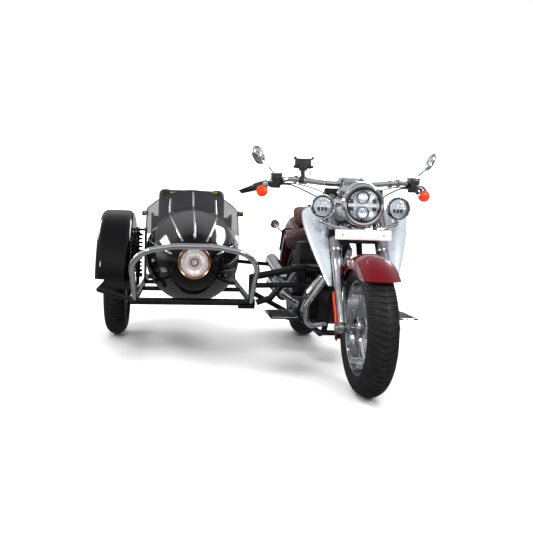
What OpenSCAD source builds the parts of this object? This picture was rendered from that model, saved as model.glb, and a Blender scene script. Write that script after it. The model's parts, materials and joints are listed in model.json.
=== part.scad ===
// Sidecar motorcycle: a V-twin cruiser with a torpedo sidecar on its right side.
// Millimetres, +Z up, the front is -Y. All modules below work in a bike frame with the
// rear axle at Y = 0, the bike's middle plane at X = 0 and the floor at Z = 0.

/* [Bike] */
// Distance between the front and the rear axle
wheelbase = 1635; // [1600:5:1700]
// Angle of the steering axis back from vertical
rake = 31; // [29:0.5:33]
// Distance on the floor from the steering axis back to the front contact point
trail = 147; // [135:1:160]
// Radius of the front tyre
front_tire_r = 321; // [300:1:330]
// Width of the front tyre
front_tire_w = 140; // [110:1:146]
// Radius of the rear tyre
rear_tire_r = 326; // [310:1:340]
// Width of the rear tyre
rear_tire_w = 190; // [150:1:200]
// Sideways distance from the middle plane to each fork leg
fork_half = 115; // [108:1:125]
// Diameter of the polished lower fork legs
leg_d = 55; // [48:1:58]
// Diameter of the satin upper fork covers
cover_d = 61; // [56:1:66]
// Height of the handlebar's middle above the floor
bar_z = 1000; // [980:5:1040]
// Diameter of the handlebar tube
bar_d = 28; // [22:1:32]
// Angle between the two engine cylinders
vee_angle = 45; // [42:1:50]
// Number of cooling fins on each cylinder
fin_count = 8; // [5:1:10]

/* [Lamps] */
// Outer radius of the headlamp ring
head_r = 104; // [96:1:110]
// Radius of the headlamp glass
head_glass_r = 84; // [76:1:90]
// Height of the headlamp's centre
head_z = 888; // [870:1:900]
// Outer radius of each fog lamp
fog_r = 59; // [50:1:62]
// Sideways distance from the middle plane to each fog lamp
fog_x = 189; // [182:1:200]
// Radius of each turn signal
signal_r = 31; // [26:1:34]

/* [Sidecar] */
// Distance from the bike's middle plane to the tub's middle plane
tub_x = 793; // [780:1:830]
// Height of the tub's axis above the floor
tub_z = 572; // [560:1:590]
// Largest radius of the tub
tub_r = 285; // [260:1:288]
// Front end of the tub, ahead of the rear axle
tub_nose_y = 1170; // [1150:5:1200]
// Back end of the tub, behind the rear axle
tub_tail_y = 750; // [700:5:800]
// Thickness of the tub's wall
tub_wall = 14; // [8:1:20]
// Height of the cockpit rim above the floor
rim_z = 822; // [800:1:835]
// Distance from the bike's middle plane to the sidecar wheel's middle
side_wheel_x = 1280; // [1275:1:1320]
// Lead of the sidecar wheel ahead of the rear axle
side_wheel_lead = 30; // [0:5:60]
// Radius of the sidecar tyre
side_tire_r = 320; // [300:1:325]
// Width of the sidecar tyre
side_tire_w = 140; // [110:1:146]
// Half of the width of the sidecar wheel's fender
side_fender_half = 105; // [95:1:108]
// Outer radius of the sidecar wheel's fender
side_fender_r = 475; // [455:1:480]
// Diameter of the sidecar frame tubes
frame_d = 38; // [32:1:42]
// Height of the sidecar frame above the floor
frame_z = 345; // [338:1:350]
// Diameter of the chrome bumper tube
bumper_d = 30; // [24:1:34]

/* [Clearances] */
// Gap between a shaft and the bore it turns in, on each side
run_gap = 0.3; // [0.2:0.05:0.5]
// Gap between a soft seat and what it rests on
soft_gap = 0.3; // [0.2:0.1:1]
// Gap between the brake disc and each side of its caliper
disc_gap = 1; // [0.8:0.1:2]

/* [Hidden] */
$fn = 48;

knuckle = 1.04;                       // a bend's ball against its tube
steer_y = -(wheelbase + trail);       // the steering axis meets the floor here
fork_v = trail * cos(rake) - front_tire_r * sin(rake);
axle_w = trail * sin(rake) + front_tire_r * cos(rake);
cover_w0 = axle_w + 395;              // the covers' lower end, along the steering axis
clamp_w0 = axle_w + 470;              // underside of the lower clamp
clamp_t = 30;
clamp_half = fork_half + 35;
clamp_back = 12;                       // the clamps' rear edge behind the stem's axis
head_w0 = clamp_w0 + clamp_t + 5;     // the head tube
head_w1 = head_w0 + 200;
top_w0 = head_w1 + 5;                 // underside of the top clamp
stem_r = 14;
head_tube_r = 30;
axle_r = 10;
head_y = -1480;
fog_y = -1436;
fog_z = 877;
plate_hole_x = 100;
plate_hole_r = 3.5;
hub_half = 55;
front_lip_r = 228;
rear_lip_r = 218;
side_lip_r = 228;
rotor_r = 146;
rotor_x = 70;
rotor_t = 5;
rear_center_z = rear_tire_r;
arm_x = 145;
pivot_y = -430;
pivot_z = 330;
belt_x0 = 102;
belt_x1 = 120;
crank_y = -850;
crank_z = 340;
case_half = 95;
barrel_r = 62;
fin_r = 78;
rear_fender_r = 470;
rear_fender_z = 360;
rear_fender_half = 125;
sheet_t = 4;
backbone_d = 44;
backbone_path = [[0, -1285, 830], [0, -760, 800], [0, -520, 690], [0, -440, 645]];
seat_half = 205;
seat_front = -586;
fender_front = -434;
strut_low = [-360, 600];
strut_high = [250, 700];
stand_y = -640;
stand_z = 165;
stand_pin_r = 9;
sprocket = [-520, 352];
sprocket_r = 40;
pulley_r = 108;
belt_t = 3;
grip_r = 18;
lever_tip = [550, -870, 963];
lever_ball_r = 8;
rail_out_x = -(tub_x + tub_r + 32);   // outer long rail
rail_in_x = -(tub_x - tub_r - 32);    // inner long rail
frame_front_y = -970;
frame_rear_y = 450;
nose_r = 170;
nose_c = -tub_nose_y + nose_r;
nose_join = -450;
tail_r = 110;
tail_c = tub_tail_y - tail_r;
tail_join = -100;
dash_y = -300;                        // rear edge of the tub's front deck
wall_y = -190;                        // front edge of the cockpit's side walls
cockpit_rear = 400;
deck_y = 250;                         // the deck is highest and widest here
deck_r = 500;
lamp_r = 87;
lamp_y = -1175;
screen_foot_y = -365;
screen_top_y = -205;
screen_top_r = 400;
screen_t = 5;
screen_half = 297;
side_y = -side_wheel_lead;
tower_x = -(tub_x + tub_r + 22);
x_low = -(side_wheel_x + side_fender_half);
x_high = lever_tip[0] + lever_ball_r;
y_low = -(wheelbase + front_tire_r);
y_high = tub_tail_y;
shift = [-(x_low + x_high) / 2, -(y_low + y_high) / 2, 0];

// centre of the arc that runs on from the nose or tail ball to the widest ring
function arc_r(c, ball, join) =
  ((join - c) * (join - c) + tub_r * tub_r - ball * ball) / (2 * (tub_r - ball));

// ---- helpers
module rod(a, b, d) {
  v = b - a;
  translate(a) rotate([0, acos(v[2] / norm(v)), atan2(v[1], v[0])])
    cylinder(d = d, h = norm(v));
}
module bent_tube(pts, d) {
  for (i = [0 : len(pts) - 2]) rod(pts[i], pts[i + 1], d);
  for (i = [1 : len(pts) - 2]) translate(pts[i]) sphere(d = d * knuckle);
}
module both_sides() {
  children();
  mirror([1, 0, 0]) children();
}
module along_x(x0, x1, y, z, r) {
  translate([x0, y, z]) rotate([0, 90, 0]) cylinder(r = r, h = x1 - x0);
}
module along_y(x, y0, y1, z, r) {
  translate([x, y0, z]) rotate([-90, 0, 0]) cylinder(r = r, h = y1 - y0);
}
module block(low, high) translate(low) cube(high - low);
module at_steering() translate([0, steer_y, 0]) rotate([-rake, 0, 0]) children();
module at_wheel(x, y, z) translate([x, y, z]) rotate([0, 90, 0]) children();

// ---- wheels: drawn about Z, then laid on the axle
module rim_profile(lip_r, half) {
  polygon([[lip_r - 22, -half], [lip_r, -half], [lip_r, -half + 7], [lip_r - 16, -half + 9],
           [lip_r - 16, half - 9], [lip_r, half - 7], [lip_r, half], [lip_r - 22, half]]);
}
module rim_shape(lip_r, half, disc_z, hub_r, bore_r, hole_count) {
  difference() {
    union() {
      rotate_extrude() rim_profile(lip_r, half);
      translate([0, 0, disc_z]) cylinder(r = lip_r - 20, h = 8);
      translate([0, 0, -hub_half]) cylinder(r = hub_r, h = 2 * hub_half);
      translate([0, 0, disc_z - 8]) cylinder(r = hub_r + 22, h = 24);
    }
    translate([0, 0, -hub_half - 1]) cylinder(r = bore_r, h = 2 * hub_half + 2);
    for (i = [0 : hole_count - 1]) rotate(i * 360 / hole_count)
      translate([lip_r - 46, 0, disc_z - 1]) cylinder(r = 12, h = 10);
  }
}
module tire_shape(r, w, lip_r, half) {
  rotate_extrude() difference() {
    union() {
      intersection() {
        translate([r - w / 2, 0]) circle(r = w / 2);
        translate([lip_r - 14, -w]) square([r, 2 * w]);
      }
      translate([lip_r - 14, -half + 10]) square([30, 2 * half - 20]);
    }
    rim_profile(lip_r, half);
  }
}

// ---- bike: frame and engine
module down_tube() bent_tube([[24, -1322, 735], [62, -1240, 560], [95, -1130, 215],
  [105, -1080, 195], [105, -560, 195], [80, -452, 240], [80, -440, 600], [40, -470, 645]], 32);
module backbone() bent_tube(backbone_path, backbone_d);
module pivot_tube() along_x(-arm_x - 22, arm_x + 22, pivot_y, pivot_z, 14);
module head_tube_solid() at_steering() translate([0, 0, head_w0])
  cylinder(r = head_tube_r, h = head_w1 - head_w0);
module bike_frame() color("#181818") difference() {
  union() {
    head_tube_solid();
    backbone();
    both_sides() down_tube();
    rod([-105, -1060, 195], [105, -1060, 195], 30);
    rod([-80, -450, 600], [80, -450, 600], 28);
    both_sides() rod([80, pivot_y - 4, pivot_z - 30], [80, pivot_y - 4, pivot_z + 30], 50);
    rod([-100, -540, 197], [100, -540, 197], 28);
    block([98, stand_y - 24, stand_z - 18], [121.5, stand_y + 24, stand_z + 30]);
    along_x(105, 146, stand_y, stand_z, stand_pin_r);
  }
  at_steering() translate([0, 0, head_w0 - 60]) cylinder(r = stem_r + run_gap, h = 400);
  at_steering() translate([0, 0, head_w0 - 100]) cylinder(r = 60, h = 100);
  pivot_tube();
}
module case_raw() {
  along_x(-case_half, case_half, crank_y, crank_z, 128);
  block([-case_half + 25, -800, 235], [case_half - 25, -500, 430]);
  both_sides() block([60, -940, 215], [88, -880, 300]);
  along_x(-case_half - 42, -case_half, crank_y + 20, crank_z - 10, 95);
  along_x(60, belt_x1, sprocket[0], sprocket[1], sprocket_r);
}
module engine_case() color("#8d8f92") difference() {
  case_raw();
  both_sides() down_tube();
}
module barrel_shift(sign) translate([0, crank_y, crank_z]) rotate([sign * vee_angle / 2, 0, 0])
  children();
module engine_cylinders() color("#2b2b2d") difference() {
  for (sign = [-1, 1]) barrel_shift(sign) {
    translate([0, 0, 90]) cylinder(r = barrel_r, h = 165);
    for (i = [0 : fin_count - 1]) translate([0, 0, 132 + i * 14]) cylinder(r = fin_r, h = 7);
  }
  case_raw();
  block([-200, crank_y - 1, 200], [200, crank_y + 1, 560]);
}
module rocker_covers() color("#d9dbde") for (sign = [-1, 1]) barrel_shift(sign) {
  translate([0, 0, 255]) cylinder(r = fin_r, h = 62);
  translate([-72, -52, 317]) cube([144, 104, 40]);
  translate([0, 0, 357]) cylinder(r = 46, h = 14);
}
module air_cleaner() color("#1d1d1f") difference() {
  union() {
    along_x(-205, -118, crank_y, 598, 88);
    along_x(-118, -40, crank_y, 560, 34);
  }
  engine_cylinders();
  rocker_covers();
}
module primary_cover() color("#d9dbde") difference() {
  union() {
    along_x(case_half, 162, crank_y, crank_z, 98);
    along_x(case_half, 162, -665, 350, 84);
    block([case_half, crank_y, 266], [162, -665, 434]);
  }
  both_sides() down_tube();
}
module muffler(a, b) {
  bent_tube([a, b], 84);
}
module exhaust() color("#cfd2d6") difference() {
  union() {
    bent_tube([[-30, -1012, 590], [-100, -1060, 500], [-168, -1040, 410],
      [-172, -900, 310], [-190, -740, 322], [-235, -560, 348]], 46);
    muffler([-235, -560, 348], [-235, -60, 372]);
    bent_tube([[-30, -700, 560], [-160, -680, 545], [-215, -620, 440], [-235, -540, 452]], 46);
    muffler([-235, -540, 452], [-235, 20, 520]);
  }
  engine_cylinders();
  rocker_covers();
}
module oil_tank() color("#d9dbde") difference() {
  block([-64, -540, 440], [64, fender_front - 1, 585]);
  both_sides() down_tube();
}
// a lens seen from above: two tall cylinders crossing, half_w wide at y_mid
module plan_lens(half_w, y_mid, big_r) intersection_for(side = [-1, 1])
  translate([side * (big_r - half_w), y_mid, 0]) cylinder(r = big_r, h = 1400);
module tank_raw() intersection() {
  plan_lens(190, -900, 420);
  along_x(-200, 200, -850, 470, 452);
  along_y(0, -1200, -590, 740, 192);
  block([-200, -1200, 745], [200, -590, 960]);
}
module fuel_tank() color("#5a0b12") difference() {
  tank_raw();
  backbone();
  head_tube_solid();
  rocker_covers();
}
module rear_fender() color("#5a0b12") difference() {
  intersection() {
    at_wheel(0, 0, rear_fender_z) difference() {
      cylinder(r = rear_fender_r, h = 2 * rear_fender_half, center = true);
      cylinder(r = rear_fender_r - sheet_t, h = 2 * (rear_fender_half - sheet_t), center = true);
      cylinder(r = rear_fender_r - 130, h = 600, center = true);
    }
    union() {
      block([-200, fender_front, 430], [200, 300, 900]);
      block([-200, 299, 250], [200, 600, 900]);
    }
  }
  both_sides() down_tube();
  backbone();
}
module seat_raw() difference() {
  union() {
    block([-seat_half, seat_front, 600], [seat_half, -330, 765]);
    intersection() {
      at_wheel(0, 0, rear_fender_z) cylinder(r = rear_fender_r + 80, h = 400, center = true);
      block([-seat_half, -331, 600], [seat_half, -50, 1000]);
    }
  }
  at_wheel(0, 0, rear_fender_z)
    cylinder(r = rear_fender_r + soft_gap, h = 500, center = true);
  block([-140, -640, 500], [140, -200, 672]);
}
module bike_seat() color("#4a2a1c") difference() {
  seat_raw();
  bent_tube(backbone_path, backbone_d + 2 * soft_gap);
}
module strut_bar() translate([rear_fender_half, strut_low[0], strut_low[1]])
  rotate([atan2(strut_high[1] - strut_low[1], strut_high[0] - strut_low[0]), 0, 0])
    cube([10, norm(strut_high - strut_low), 22]);
module fender_struts() color("#d9dbde") both_sides() strut_bar();
module rear_signals() both_sides() {
  color("#d9dbde") difference() {
    rod([rear_fender_half + 6, 235, 708], [186, 262, 764], 14);
    strut_bar();
    along_y(186, 245, 290, 764, signal_r);
  }
  color("#e8691b") along_y(186, 245, 290, 764, signal_r);
}
module tail_lamp() color("#a01212") difference() {
  block([-60, 380, 560], [60, 480, 620]);
  at_wheel(0, 0, rear_fender_z) cylinder(r = rear_fender_r, h = 600, center = true);
}
module swingarm() color("#1b1b1b") difference() {
  union() {
    pivot_tube();
    both_sides() rod([arm_x, pivot_y, pivot_z], [arm_x, 0, rear_center_z], 30);
    both_sides() along_x(arm_x - 18, arm_x + 18, 0, rear_center_z, 28);
    rod([-arm_x, -390, 330], [arm_x, -390, 330], 26);
  }
  along_x(-arm_x - 30, arm_x + 30, 0, rear_center_z, axle_r);
}
module rear_axle() color("#b9bcc0") {
  along_x(-arm_x - 30, arm_x + 30, 0, rear_center_z, axle_r);
  both_sides() along_x(arm_x + 18, arm_x + 28, 0, rear_center_z, 20);
  along_x(belt_x1 + 1, arm_x - 18, 0, rear_center_z, 15);
  along_x(-arm_x + 18, -belt_x0 - 6, 0, rear_center_z, 15);
}
module belt_outline(grow) hull() {
  translate([rear_center_z, 0]) circle(r = pulley_r + grow);
  translate([sprocket[1], sprocket[0]]) circle(r = sprocket_r + grow);
}
module drive_belt() color("#161616") mirror([0, 0, 1]) rotate([0, 90, 0])
  translate([0, 0, belt_x0 + 1]) linear_extrude(belt_x1 - belt_x0 - 2) difference() {
    belt_outline(disc_gap + belt_t);
    belt_outline(disc_gap);
  }
module floorboards() {
  color("#8f9296") both_sides() block([244, -1225, 292], [398, -935, 306]);
  color("#1a1a1a") difference() {
    union() {
      both_sides() rod([105, -1080, 240], [250, -1120, 284], 22);
      both_sides() rod([105, -960, 200], [250, -990, 284], 22);
      both_sides() rod([246, -1120, 285], [300, -1120, 285], 24);
      both_sides() rod([246, -990, 285], [300, -990, 285], 24);
      both_sides() rod([250, -1130, 300], [225, -1150, 392], 14);
    }
    both_sides() down_tube();
    case_raw();
  }
  color("#c8cace") both_sides() block([170, -1165, 390], [280, -1120, 402]);
}
module engine_guard() color("#cfd2d6") difference() {
  both_sides() bent_tube([[40, -1262, 590], [110, -1290, 540], [225, -1262, 370],
    [215, -1250, 262], [92, -1150, 262]], 30);
  both_sides() down_tube();
}
module saddlebag_stays() color("#141414") difference() {
  both_sides() bent_tube([[rear_fender_half - 2, -110, 740], [172, -60, 735], [176, 60, 560],
    [rear_fender_half - 2, 200, 730]], 12);
  block([-rear_fender_half, -300, 400], [rear_fender_half, 400, 900]);
  both_sides() strut_bar();
}
module rear_rim() color("#c4c7cb") at_wheel(0, 0, rear_center_z) {
  difference() {
    union() {
      rim_shape(rear_lip_r, 70, -4, 44, axle_r + run_gap, 15);
      translate([0, 0, hub_half]) cylinder(r = 40, h = belt_x0 - hub_half + 4);
      translate([0, 0, belt_x0]) cylinder(r = pulley_r, h = belt_x1 - belt_x0);
      translate([0, 0, -belt_x0 - 4]) cylinder(r = rotor_r, h = rotor_t);
      translate([0, 0, -belt_x0]) cylinder(r = 40, h = belt_x0 - hub_half);
    }
    cylinder(r = axle_r + run_gap, h = 400, center = true);
  }
}
module rear_tire() color("#161616") at_wheel(0, 0, rear_center_z)
  tire_shape(rear_tire_r, rear_tire_w, rear_lip_r, 70);
module side_stand() color("#1b1b1b") difference() {
  union() {
    rod([131, stand_y, stand_z], [150, stand_y + 138, stand_z], 18);
    rod([150, stand_y + 138, stand_z], [184, stand_y + 142, stand_z - 2], 24);
    along_x(122, 140, stand_y, stand_z, 20);
  }
  along_x(100, 200, stand_y, stand_z, stand_pin_r + run_gap);
}

// ---- steering: most pieces are placed in the bike frame and turn with the fork
module cover_raw() at_steering() both_sides() translate([fork_half, fork_v, cover_w0])
  cylinder(d = cover_d, h = top_w0 - cover_w0);
module leg_raw() at_steering() both_sides() translate([fork_half, fork_v, axle_w - 5])
  cylinder(d = leg_d, h = cover_w0 - axle_w + 5);
module clamp_plate(w0, front) at_steering() {
  block([-clamp_half, fork_v - front, w0], [clamp_half, clamp_back, w0 + clamp_t]);
}
module steering_clamps() color("#202022") difference() {
  union() {
    clamp_plate(clamp_w0, 34);
    clamp_plate(top_w0, 34);
    at_steering() translate([0, 0, clamp_w0]) cylinder(r = stem_r, h = top_w0 - clamp_w0 + 1);
  }
  cover_raw();
}
module fork_covers() color("#b8babd") cover_raw();
module fork_legs() color("#d0d2d5") difference() {
  union() {
    leg_raw();
    both_sides() along_x(fork_half - 27, fork_half + 27, -wheelbase, front_tire_r, 27);
    at_steering() both_sides() translate([0, fork_v, axle_w + 285]) rotate([0, 90, 0])
      translate([0, 0, 84]) cylinder(r = 14, h = 30);
  }
  along_x(-200, 200, -wheelbase, front_tire_r, axle_r);
}
module front_axle() color("#b9bcc0") {
  along_x(-fork_half - 40, fork_half + 40, -wheelbase, front_tire_r, axle_r);
  both_sides() along_x(fork_half + 28, fork_half + 39, -wheelbase, front_tire_r, 17);
  both_sides() along_x(fork_half - 32, fork_half - 28, -wheelbase, front_tire_r, 17);
}
module front_caliper() color("#8d8f92") difference() {
  at_steering() translate([0, fork_v, axle_w]) block([58, 24, 76], [122, 86, 174]);
  along_x(rotor_x - disc_gap, rotor_x + rotor_t + disc_gap, -wheelbase, front_tire_r,
    rotor_r + 3);
  leg_raw();
  along_x(-200, 200, -wheelbase, front_tire_r, 60);
}
// half of a fender's cut: flat sides up to an arc over the top
module crowned_band(r, half, arc) polygon(concat([[100, -half]],
  [for (i = [-6 : 6]) [r - arc + sqrt(arc * arc - pow(half * i / 6, 2)), half * i / 6]],
  [[100, half]]));
module front_fender() color("#7d0f18") intersection() {
  at_wheel(0, -wheelbase, front_tire_r) difference() {
    rotate_extrude() crowned_band(345, 84, 130);
    rotate_extrude() crowned_band(345 - sheet_t, 84 - sheet_t, 130 - sheet_t);
    cylinder(r = 272, h = 600, center = true);
  }
  union() {
    block([-200, -wheelbase, front_tire_r - 110], [200, -wheelbase + 600, front_tire_r + 600]);
    block([-200, -wheelbase - 250, front_tire_r + 236], [200, -wheelbase + 1, 900]);
  }
}
module clear_of_fork() {
  cover_raw();
  clamp_plate(clamp_w0, 34);
  clamp_plate(top_w0, 34);
}
module nacelle() color("#d4d7da") difference() {
  union() {
    along_y(0, head_y - 8, -1318, head_z, head_r);
    block([-96, -1400, head_z + 20], [96, -1250, head_z + 96]);
  }
  along_y(0, head_y - 9, head_y + 66, head_z, head_glass_r);
  clear_of_fork();
  at_steering() translate([0, 0, clamp_w0]) cylinder(r = 48, h = 400);
}
module lamp_glass() color("#e8eef2") {
  along_y(0, head_y - 8, head_y - 2, head_z, head_glass_r - run_gap);
  both_sides() along_y(fog_x, fog_y - 6, fog_y, fog_z, fog_r - 8 - run_gap);
}
module fog_lamps() color("#d4d7da") both_sides() difference() {
  union() {
    along_y(fog_x, fog_y - 6, fog_y + 52, fog_z, fog_r);
    along_y(fog_x, fog_y + 52, fog_y + 70, fog_z, fog_r - 20);
  }
  along_y(fog_x, fog_y - 7, fog_y + 44, fog_z, fog_r - 8);
}
module lamp_bar() color("#d4d7da") difference() {
  union() {
    bent_tube([[-fog_x, fog_y + 20, fog_z - 70], [-125, -1456, 773], [125, -1456, 773],
      [fog_x, fog_y + 20, fog_z - 70]], 22);
    both_sides() rod([fog_x, fog_y + 20, fog_z - 70], [fog_x, fog_y + 20, fog_z - 54], 20);
    both_sides() rod([100, -1456, 773], [108, -1372, 776], 16);
    both_sides() rod([62, -1456, 773], [62, -1501, 768], 10);
  }
  cover_raw();
  fog_lamps();
  front_plate_raw();
}
module front_plate_raw() block([-138, -1503, 722], [138, -1499, 798]);
module front_plate() color("#f1f1ee") difference() {
  front_plate_raw();
  both_sides() along_y(plate_hole_x, -1510, -1490, 760, plate_hole_r);
}
module leg_shields() color("#c9ccd0") at_steering() both_sides()
  translate([0, fork_v + 2, 0]) rotate([90, 0, 0]) linear_extrude(4)
    polygon([[clamp_half, 985], [222, 996], [272, 966], [268, 890], [216, 700], [168, 578],
      [clamp_half, 560]]);
module bar_path() bent_tube([[-530, -850, 962], [-432, -1030, 984], [-330, -1120, 1024],
  [-110, -1190, bar_z], [110, -1190, bar_z], [330, -1120, 1024], [432, -1030, 984],
  [530, -850, 962]], bar_d);
module handlebar() color("#c4c7cb") bar_path();
module riser_cover() color("#d4d7da") difference() {
  block([-64, -1262, 905], [64, -1160, bar_z + 32]);
  bar_path();
  nacelle();
  at_steering() block([-200, -300, clamp_w0], [200, 300, top_w0 + clamp_t]);
}
module grips() color("#171717") difference() {
  both_sides() rod([434, -1026, 983], [533, -845, 961], 2 * grip_r);
  bar_path();
}
module hand_controls() {
  color("#d4d7da") both_sides() {
    rod([398, -1090, 1012], [470, -1020, 996], 13);
    translate([470, -1020, 996]) sphere(r = lever_ball_r);
    rod([470, -1020, 996], lever_tip, 13);
    translate(lever_tip) sphere(r = lever_ball_r);
  }
  color("#171717") difference() {
    switch_raw();
    bar_path();
  }
}
module switch_raw() both_sides() rod([345, -1112, 1015], [404, -1062, 994], 52);
module mirrors() color("#d4d7da") difference() {
  both_sides() {
    bent_tube([[372, -1092, 1010], [400, -1100, 1056], [432, -1098, 1112]], 10);
    translate([470, -1096, 1142]) rotate([90, 0, 0]) rotate([0, 0, 45]) intersection() {
      cylinder(r = 58, h = 18, center = true);
      translate([0, -8, 0]) cylinder(r = 58, h = 18, center = true);
    }
  }
  bar_path();
  switch_raw();
}
module front_signals() both_sides() {
  color("#e8691b") along_y(445, -1090, -1050, 955, signal_r);
  color("#d4d7da") difference() {
    rod([440, -1056, 960], [424, -1040, 986], 12);
    bar_path();
    along_y(445, -1090, -1050, 955, signal_r);
    switch_raw();
  }
}
module phone_holder() color("#151515") difference() {
  union() {
    block([-288, -1160, 1062], [-192, -1120, 1132]);
    rod([-240, -1135, 1070], [-240, -1150, 1012], 22);
  }
  bar_path();
}
module front_rim() color("#c4c7cb") at_wheel(0, -wheelbase, front_tire_r) {
  difference() {
    union() {
      rim_shape(front_lip_r, 50, 24, 50, axle_r + run_gap, 18);
      translate([0, 0, hub_half - 1]) cylinder(r = 44, h = rotor_x - hub_half + 1);
      translate([0, 0, rotor_x]) difference() {
        cylinder(r = rotor_r, h = rotor_t);
        for (a = [0 : 30 : 330]) rotate(a) translate([rotor_r * 0.62, 0, -1])
          cylinder(r = 16, h = 20);
      }
    }
    cylinder(r = axle_r + run_gap, h = 400, center = true);
  }
}
module front_tire() color("#161616") at_wheel(0, -wheelbase, front_tire_r)
  tire_shape(front_tire_r, front_tire_w, front_lip_r, 50);

// ---- sidecar
module rail_pair(d) {
  for (x = [rail_out_x, rail_in_x]) rod([x, frame_front_y, frame_z], [x, frame_rear_y, frame_z], d);
}
module cross_tubes() {
  rod([rail_out_x - 22, frame_front_y, frame_z], [rail_in_x + 22, frame_front_y, frame_z], frame_d);
  rod([rail_out_x - 22, frame_rear_y, frame_z], [rail_in_x + 22, frame_rear_y, frame_z], frame_d);
}
module sidecar_frame() color("#151515") difference() {
  union() {
    rail_pair(frame_d - 4);
    cross_tubes();
    for (y = [-350, 60]) {
      rod([rail_out_x, y, frame_z], [-tub_x - 120, y, frame_z], frame_d - 10);
      rod([rail_in_x, y, frame_z], [-tub_x + 120, y, frame_z], frame_d - 10);
    }
    // posts that the struts and the bumper stand on
    rod([rail_in_x, frame_front_y, frame_z], [rail_in_x, frame_front_y, 500], 30);
    rod([rail_in_x, 300, frame_z], [rail_in_x, 300, 500], 30);
    // damper tower
    block([tower_x - 6, side_y - 60, frame_z], [tower_x + 6, side_y + 60, 720]);
    for (dy = [-48, 48])
      along_x(-side_wheel_x + side_fender_half, tower_x, side_y + dy, 706, 7);
    block([rail_in_x - 70, frame_front_y - 24, frame_z - 32],
          [rail_in_x + 20, frame_front_y + 24, frame_z - 12]);
  }
  tub_outer(0);
}
module revolve(grow) translate([-tub_x, 0, tub_z]) rotate([-90, 0, 0]) rotate_extrude() {
  big_n = arc_r(nose_c, nose_r, nose_join);
  big_t = arc_r(tail_c, tail_r, tail_join);
  intersection() {
    translate([0, -2000]) square([600, 4000]);
    union() {
      translate([0, nose_c]) circle(r = nose_r + grow);
      translate([0, tail_c]) circle(r = tail_r + grow);
      translate([0, nose_join]) square([tub_r + grow, tail_join - nose_join]);
      intersection() {
        translate([tub_r - big_n, nose_join]) circle(r = big_n + grow, $fn = 200);
        translate([0, tangent_y(nose_c, nose_r, nose_join)])
          square([600, nose_join - tangent_y(nose_c, nose_r, nose_join)]);
      }
      intersection() {
        translate([tub_r - big_t, tail_join]) circle(r = big_t + grow, $fn = 200);
        translate([0, tail_join])
          square([600, tangent_y(tail_c, tail_r, tail_join) - tail_join]);
      }
    }
  }
}
// where the arc leaves the nose or tail ball
function tangent_y(c, ball, join) =
  c + ball * (c - join) / (arc_r(c, ball, join) - ball);
module cockpit_block(grow) intersection() {
  block([-tub_x - tub_r - grow, wall_y - grow, tub_z - 10],
        [-tub_x + tub_r + grow, tub_tail_y, rim_z + grow]);
  translate([-tub_x, 0, 0]) plan_lens(tub_r + grow, deck_y, 1500);
  along_x(-2000, 0, deck_y, rim_z - deck_r, deck_r + grow);
}
module tub_outer(grow) {
  revolve(grow);
  cockpit_block(grow);
}
module tub_inside() {
  revolve(-tub_wall);
  intersection() {
    cockpit_block(-tub_wall);
    block([-2000, -400, 300], [0, 690, rim_z]);
  }
}
module tub() color("#0c0c0d") difference() {
  tub_outer(0);
  tub_inside();
  block([-tub_x - tub_r + tub_wall, wall_y - 1, 640],
        [-tub_x + tub_r - tub_wall, cockpit_rear, 1200]);
  block([-tub_x - 400, dash_y, 690], [-tub_x + 400, wall_y, 1200]);
  along_y(-tub_x, -1300, -1110, tub_z, lamp_r);
}
module nose_lamp() color("#b57a3c") {
  difference() {
    along_y(-tub_x, lamp_y, -1120, tub_z, lamp_r - soft_gap);
    along_y(-tub_x, lamp_y - 1, -1135, tub_z, lamp_r - 9);
  }
  color("#e8eef2") along_y(-tub_x, lamp_y + 2, lamp_y + 8, tub_z, lamp_r - 9);
}
module screen_cone(grow) translate([-tub_x, screen_foot_y, tub_z]) rotate([-90, 0, 0])
  cylinder(r1 = tub_r + run_gap + grow, r2 = screen_top_r + grow,
           h = screen_top_y - screen_foot_y);
module windscreen() color([0.25, 0.26, 0.28, 0.5]) intersection() {
  difference() {
    screen_cone(screen_t);
    screen_cone(0);
  }
  block([-tub_x - screen_half, -400, 690], [-tub_x + screen_half, 0, 1100]);
}
module bumper() color("#cfd2d6") difference() {
  bent_tube([[rail_out_x + 6, frame_front_y, frame_z + 10], [rail_out_x + 4, -1180, 500],
    [-tub_x - 318, -1262, 585], [-tub_x - 230, -1292, 638], [-tub_x - 100, -1302, 662],
    [-tub_x + 100, -1302, 662], [-tub_x + 230, -1292, 638], [-tub_x + 330, -1262, 585],
    [rail_in_x - 2, -1180, 500], [rail_in_x - 6, frame_front_y - 28, frame_z + 10]], bumper_d);
  cross_tubes();
  sidecar_frame();
}
module sidecar_seat() color("#121212") {
  intersection() {
    block([-tub_x - 250, -120, 430], [-tub_x + 250, 262, 560]);
    revolve(-tub_wall - soft_gap);
  }
  difference() {
    translate([-tub_x, 267, 592]) rotate([-12, 0, 0]) block([-256, 0, 0], [256, 110, 445]);
    block([-2000, cockpit_rear - soft_gap, 300], [0, 900, rim_z + soft_gap]);
  }
}
module mounting_struts() color("#151515") difference() {
  union() {
    bent_tube([[rail_in_x, frame_front_y, 485], [-168, -985, 552], [-62, -1237, 558]], 38);
    bent_tube([[rail_in_x + 10, frame_front_y, 440], [-96, -1000, 452]], 30);
    bent_tube([[rail_in_x + 30, frame_front_y, frame_z], [-370, frame_front_y - 4, frame_z + 26],
      [-312, frame_front_y - 12, 440]], 34);
    bent_tube([[rail_in_x + 6, frame_front_y + 4, 400], [-104, -830, 198]], 28);
    bent_tube([[rail_in_x, 300, 485], [-130, 120, 470]], 28);
  }
  sidecar_frame();
  both_sides() down_tube();
  case_raw();
}
module board_loop() bent_tube([[rail_out_x, -925, frame_z], [-1300, -940, 400],
  [-1306, -525, 400], [rail_out_x, -515, frame_z]], 28);
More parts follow.
